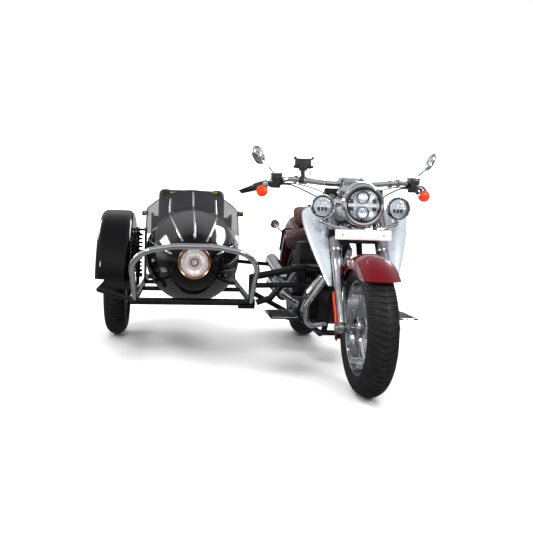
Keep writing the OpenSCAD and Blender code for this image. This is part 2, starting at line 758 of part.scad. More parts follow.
module running_board() {
  color("#151515") difference() {
    board_loop();
    rail_pair(frame_d - 4);
  }
  color("#77797c") difference() {
    block([-1288, -925, 402], [-1135, -525, 413]);
    board_loop();
  }
}
module side_fender() color("#0c0c0d") intersection() {
  at_wheel(-side_wheel_x, side_y + 20, 360) difference() {
    cylinder(r = side_fender_r, h = 2 * side_fender_half, center = true);
    cylinder(r = side_fender_r - sheet_t, h = 2 * (side_fender_half - sheet_t), center = true);
    cylinder(r = 338, h = 600, center = true);
  }
  block([-2000, -900, 408], [0, 900, 1000]);
}
module side_swingarm() color("#1b1b1b") difference() {
  union() {
    rod([rail_out_x, -360, frame_z - 6], [-1172, side_y, side_tire_r], 30);
    along_x(-1188, -1156, side_y, side_tire_r, 26);
    along_x(-1350, -1150, side_y, side_tire_r, axle_r);
    along_x(-1365, -1350, side_y, side_tire_r, 18);
    along_x(-1165, tower_x - 20, side_y, 400, 14);
    rod([-1150, side_y, 330], [-1150, side_y, 400], 24);
  }
  sidecar_frame();
}
module side_shock() color("#c4c7cb") difference() {
  union() {
    rod([-1150, side_y, 414], [-1150, side_y, 690], 66);
    along_x(-1165, tower_x - 6, side_y, 700, 12);
  }
}
module side_rim() color("#c4c7cb") at_wheel(-side_wheel_x, side_y, side_tire_r)
  rim_shape(side_lip_r, 50, 10, 50, axle_r + run_gap, 18);
module side_tire() color("#161616") at_wheel(-side_wheel_x, side_y, side_tire_r)
  tire_shape(side_tire_r, side_tire_w, side_lip_r, 50);

translate(shift) {
  bike_frame();
  engine_case();
  engine_cylinders();
  rocker_covers();
  air_cleaner();
  primary_cover();
  exhaust();
  oil_tank();
  fuel_tank();
  bike_seat();
  rear_fender();
  fender_struts();
  rear_signals();
  tail_lamp();
  swingarm();
  rear_axle();
  drive_belt();
  floorboards();
  engine_guard();
  saddlebag_stays();
  rear_rim();
  rear_tire();
  side_stand();
  steering_clamps();
  fork_covers();
  fork_legs();
  front_axle();
  front_caliper();
  front_fender();
  nacelle();
  lamp_glass();
  fog_lamps();
  lamp_bar();
  front_plate();
  leg_shields();
  handlebar();
  riser_cover();
  grips();
  hand_controls();
  mirrors();
  front_signals();
  phone_holder();
  front_rim();
  front_tire();
  sidecar_frame();
  mounting_struts();
  bumper();
  tub();
  nose_lamp();
  windscreen();
  sidecar_seat();
  running_board();
  side_fender();
  side_swingarm();
  side_shock();
  side_rim();
  side_tire();
}
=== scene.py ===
import json
import math
import bmesh
import bpy
import numpy as np
from mathutils import Matrix, Vector

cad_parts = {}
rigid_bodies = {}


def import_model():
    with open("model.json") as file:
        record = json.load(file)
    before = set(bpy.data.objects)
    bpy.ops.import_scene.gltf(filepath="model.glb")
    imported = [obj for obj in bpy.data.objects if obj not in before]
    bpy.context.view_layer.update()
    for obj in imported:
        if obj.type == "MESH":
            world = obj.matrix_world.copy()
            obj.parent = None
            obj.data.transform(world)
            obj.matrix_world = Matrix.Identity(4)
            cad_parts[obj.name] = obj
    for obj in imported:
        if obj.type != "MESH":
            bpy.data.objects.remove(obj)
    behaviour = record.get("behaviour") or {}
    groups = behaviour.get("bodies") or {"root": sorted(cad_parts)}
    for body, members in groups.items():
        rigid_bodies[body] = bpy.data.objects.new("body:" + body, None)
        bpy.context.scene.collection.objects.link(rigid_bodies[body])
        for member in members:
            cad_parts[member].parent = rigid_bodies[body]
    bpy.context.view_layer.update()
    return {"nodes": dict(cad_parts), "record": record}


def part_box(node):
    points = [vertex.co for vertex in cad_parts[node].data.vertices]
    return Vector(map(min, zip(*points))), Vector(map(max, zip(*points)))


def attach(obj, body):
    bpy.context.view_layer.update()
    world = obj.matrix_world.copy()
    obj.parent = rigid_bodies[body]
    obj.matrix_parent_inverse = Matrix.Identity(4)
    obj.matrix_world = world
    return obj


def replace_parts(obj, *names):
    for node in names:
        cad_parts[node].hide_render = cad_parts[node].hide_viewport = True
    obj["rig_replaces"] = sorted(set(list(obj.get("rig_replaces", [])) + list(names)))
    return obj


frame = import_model()
print("frame loaded,", len(frame["nodes"]), "nodes")

# places are millimetres from the rear axle's foot on the floor: X to the rider's left, the nose at minus Y
rearLow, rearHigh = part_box("rear_tire")
origin = Vector(((rearLow.x + rearHigh.x) / 2, (rearLow.y + rearHigh.y) / 2, 0.0))
millimetre = 0.001
rake = math.radians(31)
rakeFoot = -1782
forkLine = -39.3
tubMiddle = -793
tubAxis = 572
tubRadius = 285


def at(x, y, z):
    return origin + Vector((x, y, z)) * millimetre


def steer(u, v, w):
    # u across, v rearwards from the steering axis, w up along it
    return (u, rakeFoot + v * math.cos(rake) + w * math.sin(rake), -v * math.sin(rake) + w * math.cos(rake))


# camera, lights and floor
cameraSettings = {"place": (-862, -4648, 828), "yaw": 7.24, "pitch": 4.36, "roll": 1.70, "lens": 45.61}


def makeCamera():
    yaw, pitch, roll = (math.radians(cameraSettings[k]) for k in ("yaw", "pitch", "roll"))
    ahead = Vector((math.sin(yaw) * math.cos(pitch), math.cos(yaw) * math.cos(pitch), -math.sin(pitch)))
    right = Vector((math.cos(yaw), -math.sin(yaw), 0.0))
    above = right.cross(ahead)
    across = right * math.cos(roll) + above * math.sin(roll)
    upright = above * math.cos(roll) - right * math.sin(roll)
    turned = Matrix((across, upright, -ahead)).transposed().to_4x4()
    data = bpy.data.cameras.new("camera")
    data.lens = cameraSettings["lens"]
    data.clip_end = 60
    camera = bpy.data.objects.new("camera", data)
    bpy.context.scene.collection.objects.link(camera)
    camera.matrix_world = Matrix.Translation(at(*cameraSettings["place"])) @ turned
    bpy.context.scene.camera = camera


studio = {
    # brightness of the sky by height above the horizon
    "sky": ((0.0, 0.30), (0.46, 0.12), (0.52, 1.0), (0.60, 0.3), (0.80, 0.9), (1.0, 0.25)),
    "skyStrength": 0.75,
    # name: place in mm, size in m, watts, aimed at, seen in reflections
    "lights": {
        "overhead": ((-300, -900, 4300), (5.5, 4.0), 340, (-300, -900, 0), False),
        "backdropWash": ((-400, 4300, 4600), (9.0, 1.5), 800, (-400, 9600, 2000), False),
        "floorWash": ((-300, -4200, 3600), (5.0, 2.0), 90, (-300, -2300, 0), False),
        "keyLeft": ((-3300, -3700, 2500), (0.75, 0.55), 60, (-600, -900, 500), True),
        "keyRight": ((1900, -4300, 2500), (0.75, 0.6), 70, (0, -1200, 500), True),
        "rimBack": ((1900, 3000, 2600), (2.0, 1.0), 90, (-200, 0, 500), True),
        "rimFar": ((-3800, 2200, 2100), (1.4, 0.8), 60, (-800, 0, 500), True),
    },
}


def makeLights():
    bpy.context.scene.view_settings.view_transform = "Standard"
    world = bpy.data.worlds.new("studio")
    bpy.context.scene.world = world
    world.use_nodes = True
    nodes, links = world.node_tree.nodes, world.node_tree.links
    shade = nodes["Background"]
    shade.inputs["Strength"].default_value = studio["skyStrength"]
    way = nodes.new("ShaderNodeTexCoord")
    split = nodes.new("ShaderNodeSeparateXYZ")
    lift = nodes.new("ShaderNodeMapRange")
    lift.inputs["From Min"].default_value = -1
    ramp = nodes.new("ShaderNodeValToRGB")
    while len(ramp.color_ramp.elements) < len(studio["sky"]):
        ramp.color_ramp.elements.new(0.5)
    for stop, (place, level) in zip(ramp.color_ramp.elements, studio["sky"]):
        stop.position = place
        stop.color = (level, level, level * 1.03, 1)
    links.new(way.outputs["Generated"], split.inputs[0])
    links.new(split.outputs["Z"], lift.inputs["Value"])
    links.new(lift.outputs["Result"], ramp.inputs["Fac"])
    links.new(ramp.outputs["Color"], shade.inputs["Color"])
    for name, (place, size, watts, aim, shiny) in studio["lights"].items():
        data = bpy.data.lights.new(name, "AREA")
        data.shape = "RECTANGLE"
        data.size, data.size_y = size
        data.energy = watts
        lamp = bpy.data.objects.new(name, data)
        bpy.context.scene.collection.objects.link(lamp)
        lamp.visible_glossy = shiny
        lamp.location = at(*place)
        lamp.rotation_euler = (at(*aim) - lamp.location).to_track_quat("-Z", "Y").to_euler()


def makeFloor():
    # a floor that turns up into a backdrop far behind
    bend, far, wide, near = 2.2, 7.0, 14.0, -9.0
    profile = [(near, 0.0), (far, 0.0)]
    for i in range(1, 13):
        turn = math.pi / 2 * i / 12
        profile.append((far + bend * math.sin(turn), bend * (1 - math.cos(turn))))
    profile.append((far + bend, 7.0))
    verts = [(x, y, z) for y, z in profile for x in (-wide, wide)]
    faces = [(2 * i, 2 * i + 1, 2 * i + 3, 2 * i + 2) for i in range(len(profile) - 1)]
    mesh = bpy.data.meshes.new("floor")
    mesh.from_pydata(verts, [], faces)
    mesh.shade_smooth()
    floor = bpy.data.objects.new("floor", mesh)
    bpy.context.scene.collection.objects.link(floor)
    mesh.materials.append(finish["floor"])
    floor.visible_glossy = False


# finishes
# base and second colour, roughness low and high, metal, coat, patch scale, bump (pattern, scale, depth in
# mm), and for some a painted glow
finishes = {
    "floor": dict(base=(0.87, 0.87, 0.87), second=(0.85, 0.85, 0.85), rough=(0.55, 0.7), patch=2),
    "glossBlack": dict(base=(0.0012, 0.0012, 0.0014), second=(0.0026, 0.0026, 0.003), rough=(0.05, 0.1),
                       shine=0.32,
                       patch=4, bump=("noise", 700, 0.002)),
    "frameBlack": dict(base=(0.002, 0.002, 0.0022), second=(0.006, 0.006, 0.0064), rough=(0.16, 0.3),
                       shine=0.4,
                       patch=9, bump=("noise", 420, 0.03)),
    "candyRed": dict(base=(0.07, 0.0004, 0.003), second=(0.14, 0.0008, 0.005), rough=(0.2, 0.3), metal=0.25,
                     coat=0.5, shine=0.35, patch=420, bump=("cells", 900, 0.003)),
    "maroon": dict(base=(0.045, 0.0012, 0.004), second=(0.085, 0.002, 0.006), rough=(0.2, 0.3), metal=0.2,
                   coat=0.5, shine=0.3, patch=380, bump=("cells", 900, 0.003)),
    "chrome": dict(base=(0.88, 0.89, 0.91), second=(0.78, 0.79, 0.81), rough=(0.04, 0.1), metal=1.0, patch=12,
                   bump=("noise", 60, 0.004)),
    "alloy": dict(base=(0.66, 0.67, 0.69), second=(0.50, 0.51, 0.53), rough=(0.09, 0.2), metal=1.0, patch=14,
                  bump=("noise", 350, 0.008)),
    "satinAlloy": dict(base=(0.46, 0.47, 0.48), second=(0.36, 0.37, 0.38), rough=(0.26, 0.4), metal=1.0,
                       patch=18,
                       bump=("brushed", 600, 0.012)),
    "brushedSteel": dict(base=(0.5, 0.5, 0.51), second=(0.4, 0.4, 0.41), rough=(0.2, 0.34), metal=1.0,
                         patch=18,
                         bump=("brushed", 500, 0.02)),
    "shieldSilver": dict(base=(0.62, 0.66, 0.72), second=(0.60, 0.64, 0.70), rough=(0.26, 0.3), metal=0.6,
                         coat=0.3, patch=8, bump=("noise", 500, 0.004)),
    "castBlack": dict(base=(0.004, 0.004, 0.0045), second=(0.01, 0.01, 0.011), rough=(0.34, 0.52), patch=30,
                      shine=0.4,
                      bump=("noise", 260, 0.12)),
    "castGrey": dict(base=(0.16, 0.16, 0.165), second=(0.26, 0.26, 0.265), rough=(0.38, 0.55), metal=0.8,
                     patch=30, bump=("noise", 300, 0.1)),
    "tyre": dict(base=(0.004, 0.004, 0.0042), second=(0.010, 0.0095, 0.009), rough=(0.5, 0.72), patch=22,
                 shine=0.35,
                 bump=("noise", 800, 0.08)),
    "grooveDust": dict(base=(0.06, 0.05, 0.035), second=(0.02, 0.018, 0.014), rough=(0.8, 0.95), patch=40,
                       bump=("noise", 600, 0.1)),
    "brownLeather": dict(base=(0.026, 0.0085, 0.006), second=(0.05, 0.017, 0.011), rough=(0.36, 0.52),
                         patch=16,
                         shine=0.4,
                         bump=("leather", 420, 0.22)),
    "blackVinyl": dict(base=(0.003, 0.003, 0.0034), second=(0.008, 0.008, 0.0085), rough=(0.26, 0.42),
                       patch=14,
                       shine=0.45,
                       bump=("leather", 380, 0.16)),
    "rubber": dict(base=(0.012, 0.012, 0.012), second=(0.026, 0.026, 0.026), rough=(0.5, 0.72), patch=30,
                   bump=("noise", 900, 0.06)),
    "lens": dict(base=(0.95, 0.97, 1.0), second=(0.92, 0.94, 0.97), rough=(0.0, 0.03), patch=10, glass=1.0,
                 bump=("noise", 60, 0.02)),
    "smokedScreen": dict(base=(0.02, 0.02, 0.024), second=(0.015, 0.015, 0.018), rough=(0.04, 0.09), patch=3,
                         alpha=0.62, shine=0.5, bump=("noise", 20, 0.004)),
    "brass": dict(base=(0.62, 0.40, 0.14), second=(0.42, 0.26, 0.09), rough=(0.18, 0.34), metal=1.0, patch=60,
                  bump=("noise", 300, 0.02)),
    "copper": dict(base=(0.58, 0.30, 0.14), second=(0.42, 0.20, 0.09), rough=(0.14, 0.26), metal=1.0,
                   patch=50,
                   bump=("noise", 300, 0.01)),
    # amber: a painted glow on the signal lenses and side reflectors, which are not lit
    "amber": dict(base=(0.75, 0.05, 0.0), second=(0.45, 0.02, 0.0), rough=(0.1, 0.2), shine=0.5, patch=90,
                  bump=("rings", 150, 0.15), paintedGlow=0.12),
    "redLens": dict(base=(0.42, 0.008, 0.006), second=(0.28, 0.004, 0.004), rough=(0.08, 0.16), coat=1.0,
                    patch=70, bump=("rings", 120, 0.12)),
    "plateWhite": dict(base=(0.66, 0.66, 0.64), second=(0.60, 0.60, 0.58), rough=(0.28, 0.4), patch=12,
                       bump=("noise", 400, 0.02)),
    # reflector: a painted glow stands in for the light reflected by the lamp bowls and the mirror glass
    "reflector": dict(base=(0.86, 0.88, 0.9), second=(0.6, 0.62, 0.66), rough=(0.1, 0.25), metal=0.8,
                      patch=80,
                      bump=("cells", 140, 0.2), paintedGlow=0.22),
    "lampBlack": dict(base=(0.01, 0.01, 0.012), second=(0.02, 0.02, 0.022), rough=(0.12, 0.24), coat=0.6,
                      patch=40, bump=("noise", 500, 0.02)),
    "greyRib": dict(base=(0.17, 0.17, 0.175), second=(0.24, 0.24, 0.245), rough=(0.42, 0.6), metal=0.5,
                    patch=24,
                    bump=("brushed", 260, 0.1)),
}


def makeFinish(name, base, second, rough, metal=0.0, coat=0.0, patch=10.0, bump=None, glass=0.0, alpha=1.0,
               paintedGlow=0.0, shine=0.5):
    made = bpy.data.materials.new(name)
    made.use_nodes = True
    nodes, links = made.node_tree.nodes, made.node_tree.links
    shader = nodes["Principled BSDF"]
    place = nodes.new("ShaderNodeTexCoord").outputs["Object"]
    patches = nodes.new("ShaderNodeTexNoise")
    patches.inputs["Scale"].default_value = patch
    patches.inputs["Detail"].default_value = 4
    links.new(place, patches.inputs["Vector"])
    blend = nodes.new("ShaderNodeMix")
    blend.data_type = "RGBA"
    blend.inputs["A"].default_value = (*base, 1)
    blend.inputs["B"].default_value = (*second, 1)
    spread = nodes.new("ShaderNodeMapRange")
    spread.inputs["From Min"].default_value = 0.35
    spread.inputs["From Max"].default_value = 0.68
    links.new(patches.outputs["Fac"], spread.inputs["Value"])
    links.new(spread.outputs["Result"], blend.inputs["Factor"])
    links.new(blend.outputs["Result"], shader.inputs["Base Color"])
    polish = nodes.new("ShaderNodeTexNoise")
    polish.inputs["Scale"].default_value = patch * 1.7 if patch < 100 else 12
    polish.inputs["Detail"].default_value = 6
    links.new(place, polish.inputs["Vector"])
    sheen = nodes.new("ShaderNodeMapRange")
    sheen.inputs["From Min"].default_value = 0.3
    sheen.inputs["From Max"].default_value = 0.7
    sheen.inputs["To Min"].default_value, sheen.inputs["To Max"].default_value = rough
    links.new(polish.outputs["Fac"], sheen.inputs["Value"])
    links.new(sheen.outputs["Result"], shader.inputs["Roughness"])
    shader.inputs["Specular IOR Level"].default_value = shine
    shader.inputs["Metallic"].default_value = metal
    shader.inputs["Coat Weight"].default_value = coat
    shader.inputs["Coat Roughness"].default_value = 0.03
    shader.inputs["Transmission Weight"].default_value = glass
    shader.inputs["Alpha"].default_value = alpha
    # painted glow: the base colour is given off as light, on parts that are not lit lamps
    if paintedGlow:
        links.new(blend.outputs["Result"], shader.inputs["Emission Color"])
        shader.inputs["Emission Strength"].default_value = paintedGlow
    if bump:
        pattern, scale, depth = bump
        height = bumpPattern(nodes, links, place, pattern, scale)
        bumped = nodes.new("ShaderNodeBump")
        bumped.inputs["Distance"].default_value = depth * millimetre * 4
        bumped.inputs["Strength"].default_value = 0.8
        links.new(height, bumped.inputs["Height"])
        links.new(bumped.outputs["Normal"], shader.inputs["Normal"])
    return made


def bumpPattern(nodes, links, place, pattern, scale):
    if pattern == "brushed":
        stretch = nodes.new("ShaderNodeMapping")
        stretch.inputs["Scale"].default_value = (1, 1, 0.03)
        links.new(place, stretch.inputs["Vector"])
        place = stretch.outputs["Vector"]
    if pattern in ("noise", "brushed"):
        grain = nodes.new("ShaderNodeTexNoise")
        grain.inputs["Detail"].default_value = 5
        grain.inputs["Scale"].default_value = scale
        links.new(place, grain.inputs["Vector"])
        return grain.outputs["Fac"]
    cells = nodes.new("ShaderNodeTexVoronoi")
    cells.inputs["Scale"].default_value = scale
    links.new(place, cells.inputs["Vector"])
    if pattern == "leather":
        cells.feature = "DISTANCE_TO_EDGE"
        folds = nodes.new("ShaderNodeMapRange")
        folds.inputs["From Max"].default_value = 0.16
        links.new(cells.outputs["Distance"], folds.inputs["Value"])
        return folds.outputs["Result"]
    return cells.outputs["Distance"]


finish = {name: makeFinish(name, **settings) for name, settings in finishes.items()}
makeCamera()
makeLights()
makeFloor()
print("camera, lights, floor and", len(finish), "finishes")


# shapes: points are gathered in millimetres and become metres when the piece is built
class Shape:
    def __init__(self):
        self.verts, self.faces, self.marks = [], [], []

    def add(self, verts, faces, mark=0):
        start = len(self.verts)
        self.verts += [tuple(v) for v in verts]
        self.faces += [tuple(i + start for i in f) for f in faces]
        self.marks += [mark] * len(faces)
        return self

    def both(self, verts, faces, mark=0):
        # the same shape on the left and, turned over, on the right
        self.add(verts, faces, mark)
        return self.add([(-x, y, z) for x, y, z in verts], [f[::-1] for f in faces], mark)


def axes(direction):
    ahead = Vector(direction).normalized()
    side = ahead.cross(Vector((0, 0, 1)))
    if side.length < 1e-3:
        side = Vector((1, 0, 0))
    side.normalize()
    return side, side.cross(ahead).normalized(), ahead


def lathe(profile, centre, direction, segments=48, start=0.0, turn=360.0):
    # profile: (radius, along); a radius of 0 closes a pole
    side, above, ahead = axes(direction)
    whole = turn >= 360
    count = segments if whole else segments + 1
    verts = []
    for radius, along in profile:
        for i in range(count):
            a = math.radians(start + turn * i / segments)
            spot = Vector(centre) + ahead * along + (side * math.cos(a) + above * math.sin(a)) * radius
            verts.append(tuple(spot))
    faces = []
    for p in range(len(profile) - 1):
        for i in range(segments):
            j = (i + 1) % count
            faces.append((p * count + i, p * count + j, (p + 1) * count + j, (p + 1) * count + i))
    return verts, faces


def loft(rings, closed=True, caps=True):
    count = len(rings[0])
    verts = [p for ring in rings for p in ring]
    faces = []
    for r in range(len(rings) - 1):
        for i in range(count if closed else count - 1):
            j = (i + 1) % count
            faces.append((r * count + i, r * count + j, (r + 1) * count + j, (r + 1) * count + i))
    if caps:
        faces.append(tuple(range(count))[::-1])
        faces.append(tuple(range(len(verts) - count, len(verts))))
    return verts, faces


def slab(low, high, soft=3.0, steps=3):
    # a block with rounded edges
    grid = bmesh.new()
    bmesh.ops.create_cube(grid, size=1.0)
    for v in grid.verts:
        v.co = Vector([low[k] if v.co[k] < 0 else high[k] for k in range(3)])
    bmesh.ops.bevel(grid, geom=grid.edges[:], offset=soft, segments=steps, profile=0.5, affect="EDGES")
    verts = [tuple(v.co) for v in grid.verts]
    faces = [tuple(v.index for v in f.verts) for f in grid.faces]
    grid.free()
    return verts, faces


def ball(centre, radii, rings=12, segments=20):
    profile = [(math.sin(math.pi * i / rings), -math.cos(math.pi * i / rings)) for i in range(rings + 1)]
    verts, faces = lathe([(max(r, 0.0), a) for r, a in profile], (0, 0, 0), (0, 0, 1), segments)
    return [tuple(centre[k] + v[k] * radii[k] for k in range(3)) for v in verts], faces


def roundPath(points, bend=30.0, steps=6):
    # straight runs joined by smooth bends
    pts = [Vector(p) for p in points]
    out = [pts[0]]
    for before, corner, after in zip(pts, pts[1:], pts[2:]):
        reach = min(bend, (corner - before).length * 0.48, (after - corner).length * 0.48)
        enter = corner + (before - corner).normalized() * reach
        leave = corner + (after - corner).normalized() * reach
        for i in range(steps + 1):
            t = i / steps
            out.append(enter * (1 - t) ** 2 + corner * 2 * t * (1 - t) + leave * t * t)
    out.append(pts[-1])
    return out


def tube(points, radius, bend=30.0, segments=16, smooth=True):
    path = roundPath(points, bend) if smooth else [Vector(p) for p in points]
    rings, side = [], None
    for i, spot in enumerate(path):
        ahead = (path[min(i + 1, len(path) - 1)] - path[max(i - 1, 0)]).normalized()
        side = axes(ahead)[0] if side is None else (side - ahead * side.dot(ahead)).normalized()
        above = ahead.cross(side)
        size = radius(i / (len(path) - 1)) if callable(radius) else radius
        rings.append([tuple(spot + (side * math.cos(a) + above * math.sin(a)) * size)
                      for a in (2 * math.pi * k / segments for k in range(segments))])
    return loft(rings)


def settle(piece, body, replaced=(), angle=38):
    piece.data.shade_smooth()
    if angle:
        piece.data.set_sharp_from_angle(angle=math.radians(angle))
    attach(piece, body)
    if replaced:
        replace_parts(piece, *replaced)
    return piece


def build(name, shape, materials, body, replaced=(), angle=38, bevel=0.0, levels=0, merge=0.01,
          wall=0.0):
    mesh = bpy.data.meshes.new(name)
    mesh.from_pydata([tuple(at(*v)) for v in shape.verts], [], shape.faces)
    for material in materials:
        mesh.materials.append(finish[material])
    mesh.polygons.foreach_set("material_index", shape.marks)
    grid = bmesh.new()
    grid.from_mesh(mesh)
    bmesh.ops.remove_doubles(grid, verts=grid.verts, dist=merge * millimetre)
    bmesh.ops.dissolve_degenerate(grid, edges=grid.edges, dist=merge * millimetre)
    bmesh.ops.recalc_face_normals(grid, faces=grid.faces)
    grid.to_mesh(mesh)
    grid.free()
    piece = bpy.data.objects.new(name, mesh)
    bpy.context.scene.collection.objects.link(piece)
    if wall:
        shell = piece.modifiers.new("wall", "SOLIDIFY")
        shell.thickness, shell.offset = wall * millimetre, 0
    if bevel:
        edge = piece.modifiers.new("edges", "BEVEL")
        edge.width, edge.segments = bevel * millimetre, 2
        edge.limit_method, edge.angle_limit = "ANGLE", math.radians(35)
        edge.harden_normals = False
    if levels:
        soft = piece.modifiers.new("smooth", "SUBSURF")
        soft.levels = soft.render_levels = levels
    return settle(piece, body, replaced, angle)


def mergedCopy(node, name, material, edge=0.0, angle=35):
    # the node's own shape, welded, with softened edges and a finish
    source = frame["nodes"][node]
    mesh = source.data.copy()
    mesh.name = name
    mesh.materials.clear()
    mesh.materials.append(finish[material])
    grid = bmesh.new()
    grid.from_mesh(mesh)
    bmesh.ops.remove_doubles(grid, verts=grid.verts, dist=0.00002)
    bmesh.ops.dissolve_degenerate(grid, edges=grid.edges, dist=0.00001)
    for face in grid.faces:
        face.material_index = 0
    if edge:
        bmesh.ops.dissolve_limit(grid, angle_limit=math.radians(0.6), verts=grid.verts, edges=grid.edges)
    grid.to_mesh(mesh)
    grid.free()
    for layer in list(mesh.attributes):
        if layer.name in ("custom_normal", "sharp_face", "sharp_edge"):
            mesh.attributes.remove(layer)
    piece = bpy.data.objects.new(name, mesh)
    bpy.context.scene.collection.objects.link(piece)
    if edge:
        soft = piece.modifiers.new("edges", "BEVEL")
        soft.width, soft.segments = edge * millimetre, 2
        soft.limit_method, soft.angle_limit = "ANGLE", math.radians(40)
    return settle(piece, bodyOf[node], (node,), angle)


bodyOf = {n: b for b, members in frame["record"]["behaviour"]["bodies"].items() for n in members}


# node trees for what repeats or follows a path
class Tree:
    def __init__(self, name, sockets):
        self.group = bpy.data.node_groups.new(name, "GeometryNodeTree")
        face = self.group.interface
        face.new_socket("Geometry", in_out="INPUT", socket_type="NodeSocketGeometry")
        self.ids = {}
        for label, kind in sockets + [("Main", "Material"), ("Second", "Material")]:
            made = face.new_socket(label, in_out="INPUT", socket_type="NodeSocket" + kind)
            self.ids[label] = made.identifier
        face.new_socket("Geometry", in_out="OUTPUT", socket_type="NodeSocketGeometry")
        self.given = self.group.nodes.new("NodeGroupInput").outputs

    def node(self, kind, links=(), **settings):
        made = self.group.nodes.new(kind)
        for key, value in settings.items():
            setattr(made, key, value)
        for socket, source in dict(links).items():
            if hasattr(source, "is_output"):
                self.group.links.new(source, made.inputs[socket])
            else:
                made.inputs[socket].default_value = source
        return made

    def close(self, geometry):
        # realized, with the main finish, and the second one on faces marked for it
        real = self.node("GeometryNodeRealizeInstances", {"Geometry": geometry})
        main = self.node("GeometryNodeSetMaterial",
                         {"Geometry": real.outputs[0], "Material": self.given["Main"]})
        marked = self.node("GeometryNodeInputNamedAttribute", {"Name": "second"}, data_type="BOOLEAN")
        second = self.node("GeometryNodeSetMaterial", {
            "Geometry": main.outputs[0], "Selection": marked.outputs["Attribute"],
            "Material": self.given["Second"]})
        out = self.node("NodeGroupOutput")
        self.group.links.new(second.outputs[0], out.inputs[0])


def makeRingTree():
    tree = Tree("ring", [("Count", "Int"), ("Centre", "Vector"), ("Axis", "Vector"), ("Weld", "Float")])
    given = tree.given
    back = tree.node("ShaderNodeVectorMath", {0: given["Centre"], "Scale": -1.0}, operation="SCALE")
    local = tree.node("GeometryNodeTransform",
                      {"Geometry": given["Geometry"], "Translation": back.outputs[0]})
    spots = tree.node("GeometryNodePoints", {"Count": given["Count"]})
    step = tree.node("ShaderNodeMath", {0: 2 * math.pi, 1: given["Count"]}, operation="DIVIDE")
    index = tree.node("GeometryNodeInputIndex")
    angle = tree.node("ShaderNodeMath", {0: index.outputs[0], 1: step.outputs[0]}, operation="MULTIPLY")
    turn = tree.node("FunctionNodeAxisAngleToRotation", {"Axis": given["Axis"], "Angle": angle.outputs[0]})
    copies = tree.node("GeometryNodeInstanceOnPoints", {
        "Points": spots.outputs[0], "Instance": local.outputs[0], "Rotation": turn.outputs[0]})
    placed = tree.node("GeometryNodeTransform",
                       {"Geometry": copies.outputs[0], "Translation": given["Centre"]})
    real = tree.node("GeometryNodeRealizeInstances", {"Geometry": placed.outputs[0]})
    welded = tree.node("GeometryNodeMergeByDistance",
                       {"Geometry": real.outputs[0], "Distance": given["Weld"]})
    tree.close(welded.outputs[0])
    return tree


def makeScatterTree():
    tree = Tree("scatter", [("Piece", "Object"), ("Size", "Float")])
    given = tree.given
    source = tree.node("GeometryNodeObjectInfo", {"Object": given["Piece"]})
    facing = tree.node("GeometryNodeInputNamedAttribute", {"Name": "facing"}, data_type="FLOAT_VECTOR")
    turn = tree.node("FunctionNodeAlignRotationToVector", {"Vector": facing.outputs["Attribute"]}, axis="Z")
    copies = tree.node("GeometryNodeInstanceOnPoints", {
        "Points": given["Geometry"], "Instance": source.outputs["Geometry"], "Rotation": turn.outputs[0],
        "Scale": given["Size"]})
    tree.close(copies.outputs[0])
    return tree


def makePipeTree():
    tree = Tree("pipe", [("Radius", "Float"), ("Bend", "Float"), ("Sides", "Int")])
    given = tree.given
    bent = tree.node("GeometryNodeFilletCurve",
                     {"Curve": given["Geometry"], "Count": 7, "Radius": given["Bend"],
                                                 "Limit Radius": True}, mode="POLY")
    outline = tree.node("GeometryNodeCurvePrimitiveCircle", {"Resolution": given["Sides"],
                                                             "Radius": given["Radius"]})
    skin = tree.node("GeometryNodeCurveToMesh",
                     {"Curve": bent.outputs[0], "Profile Curve": outline.outputs[0],
                                                 "Fill Caps": True})
    tree.close(skin.outputs[0])
    return tree


def makeSpringTree():
    tree = Tree("spring", [("Turns", "Float"), ("Coil", "Float"), ("Height", "Float"), ("Wire", "Float"),
                           ("Foot", "Vector")])
    given = tree.given
    coil = tree.node("GeometryNodeCurveSpiral", {"Resolution": 28, "Rotations": given["Turns"],
                                                 "Start Radius": given["Coil"], "End Radius": given["Coil"],
                                                 "Height": given["Height"]})
    outline = tree.node("GeometryNodeCurvePrimitiveCircle", {"Resolution": 10, "Radius": given["Wire"]})
    skin = tree.node("GeometryNodeCurveToMesh",
                     {"Curve": coil.outputs[0], "Profile Curve": outline.outputs[0],
                                                 "Fill Caps": True})
    placed = tree.node("GeometryNodeTransform", {"Geometry": skin.outputs[0], "Translation": given["Foot"]})
    tree.close(placed.outputs[0])
    return tree


trees = {"ring": makeRingTree(), "scatter": makeScatterTree(), "pipe": makePipeTree(),
         "spring": makeSpringTree()}


def grow(source, treeName, name, values, body, replaced=(), angle=38):
    # the tree's result as a plain mesh piece
    tree = trees[treeName]
    modifier = source.modifiers.new("nodes", "NODES")
    modifier.node_group = tree.group
    values = {"Second": values["Main"], **values}
    for label, value in values.items():
        modifier[tree.ids[label]] = finish[value] if label in ("Main", "Second") else value
    if source.name not in bpy.context.scene.collection.objects:
        bpy.context.scene.collection.objects.link(source)
    bpy.context.view_layer.update()
    mesh = bpy.data.meshes.new_from_object(source.evaluated_get(bpy.context.evaluated_depsgraph_get()))
    mesh.name = name
    bpy.data.objects.remove(source)
    piece = bpy.data.objects.new(name, mesh)
    bpy.context.scene.collection.objects.link(piece)
    return settle(piece, body, replaced, angle)


def looseObject(name, verts, faces=(), second=None, facing=None):
    mesh = bpy.data.meshes.new(name)
    mesh.from_pydata(verts, [], list(faces))
    if second is not None:
        mesh.attributes.new("second", "BOOLEAN", "FACE").data.foreach_set("value", second)
    if facing is not None:
        mesh.attributes.new("facing", "FLOAT_VECTOR", "POINT").data.foreach_set(
            "vector", [c for v in facing for c in v])
    return bpy.data.objects.new(name, mesh)


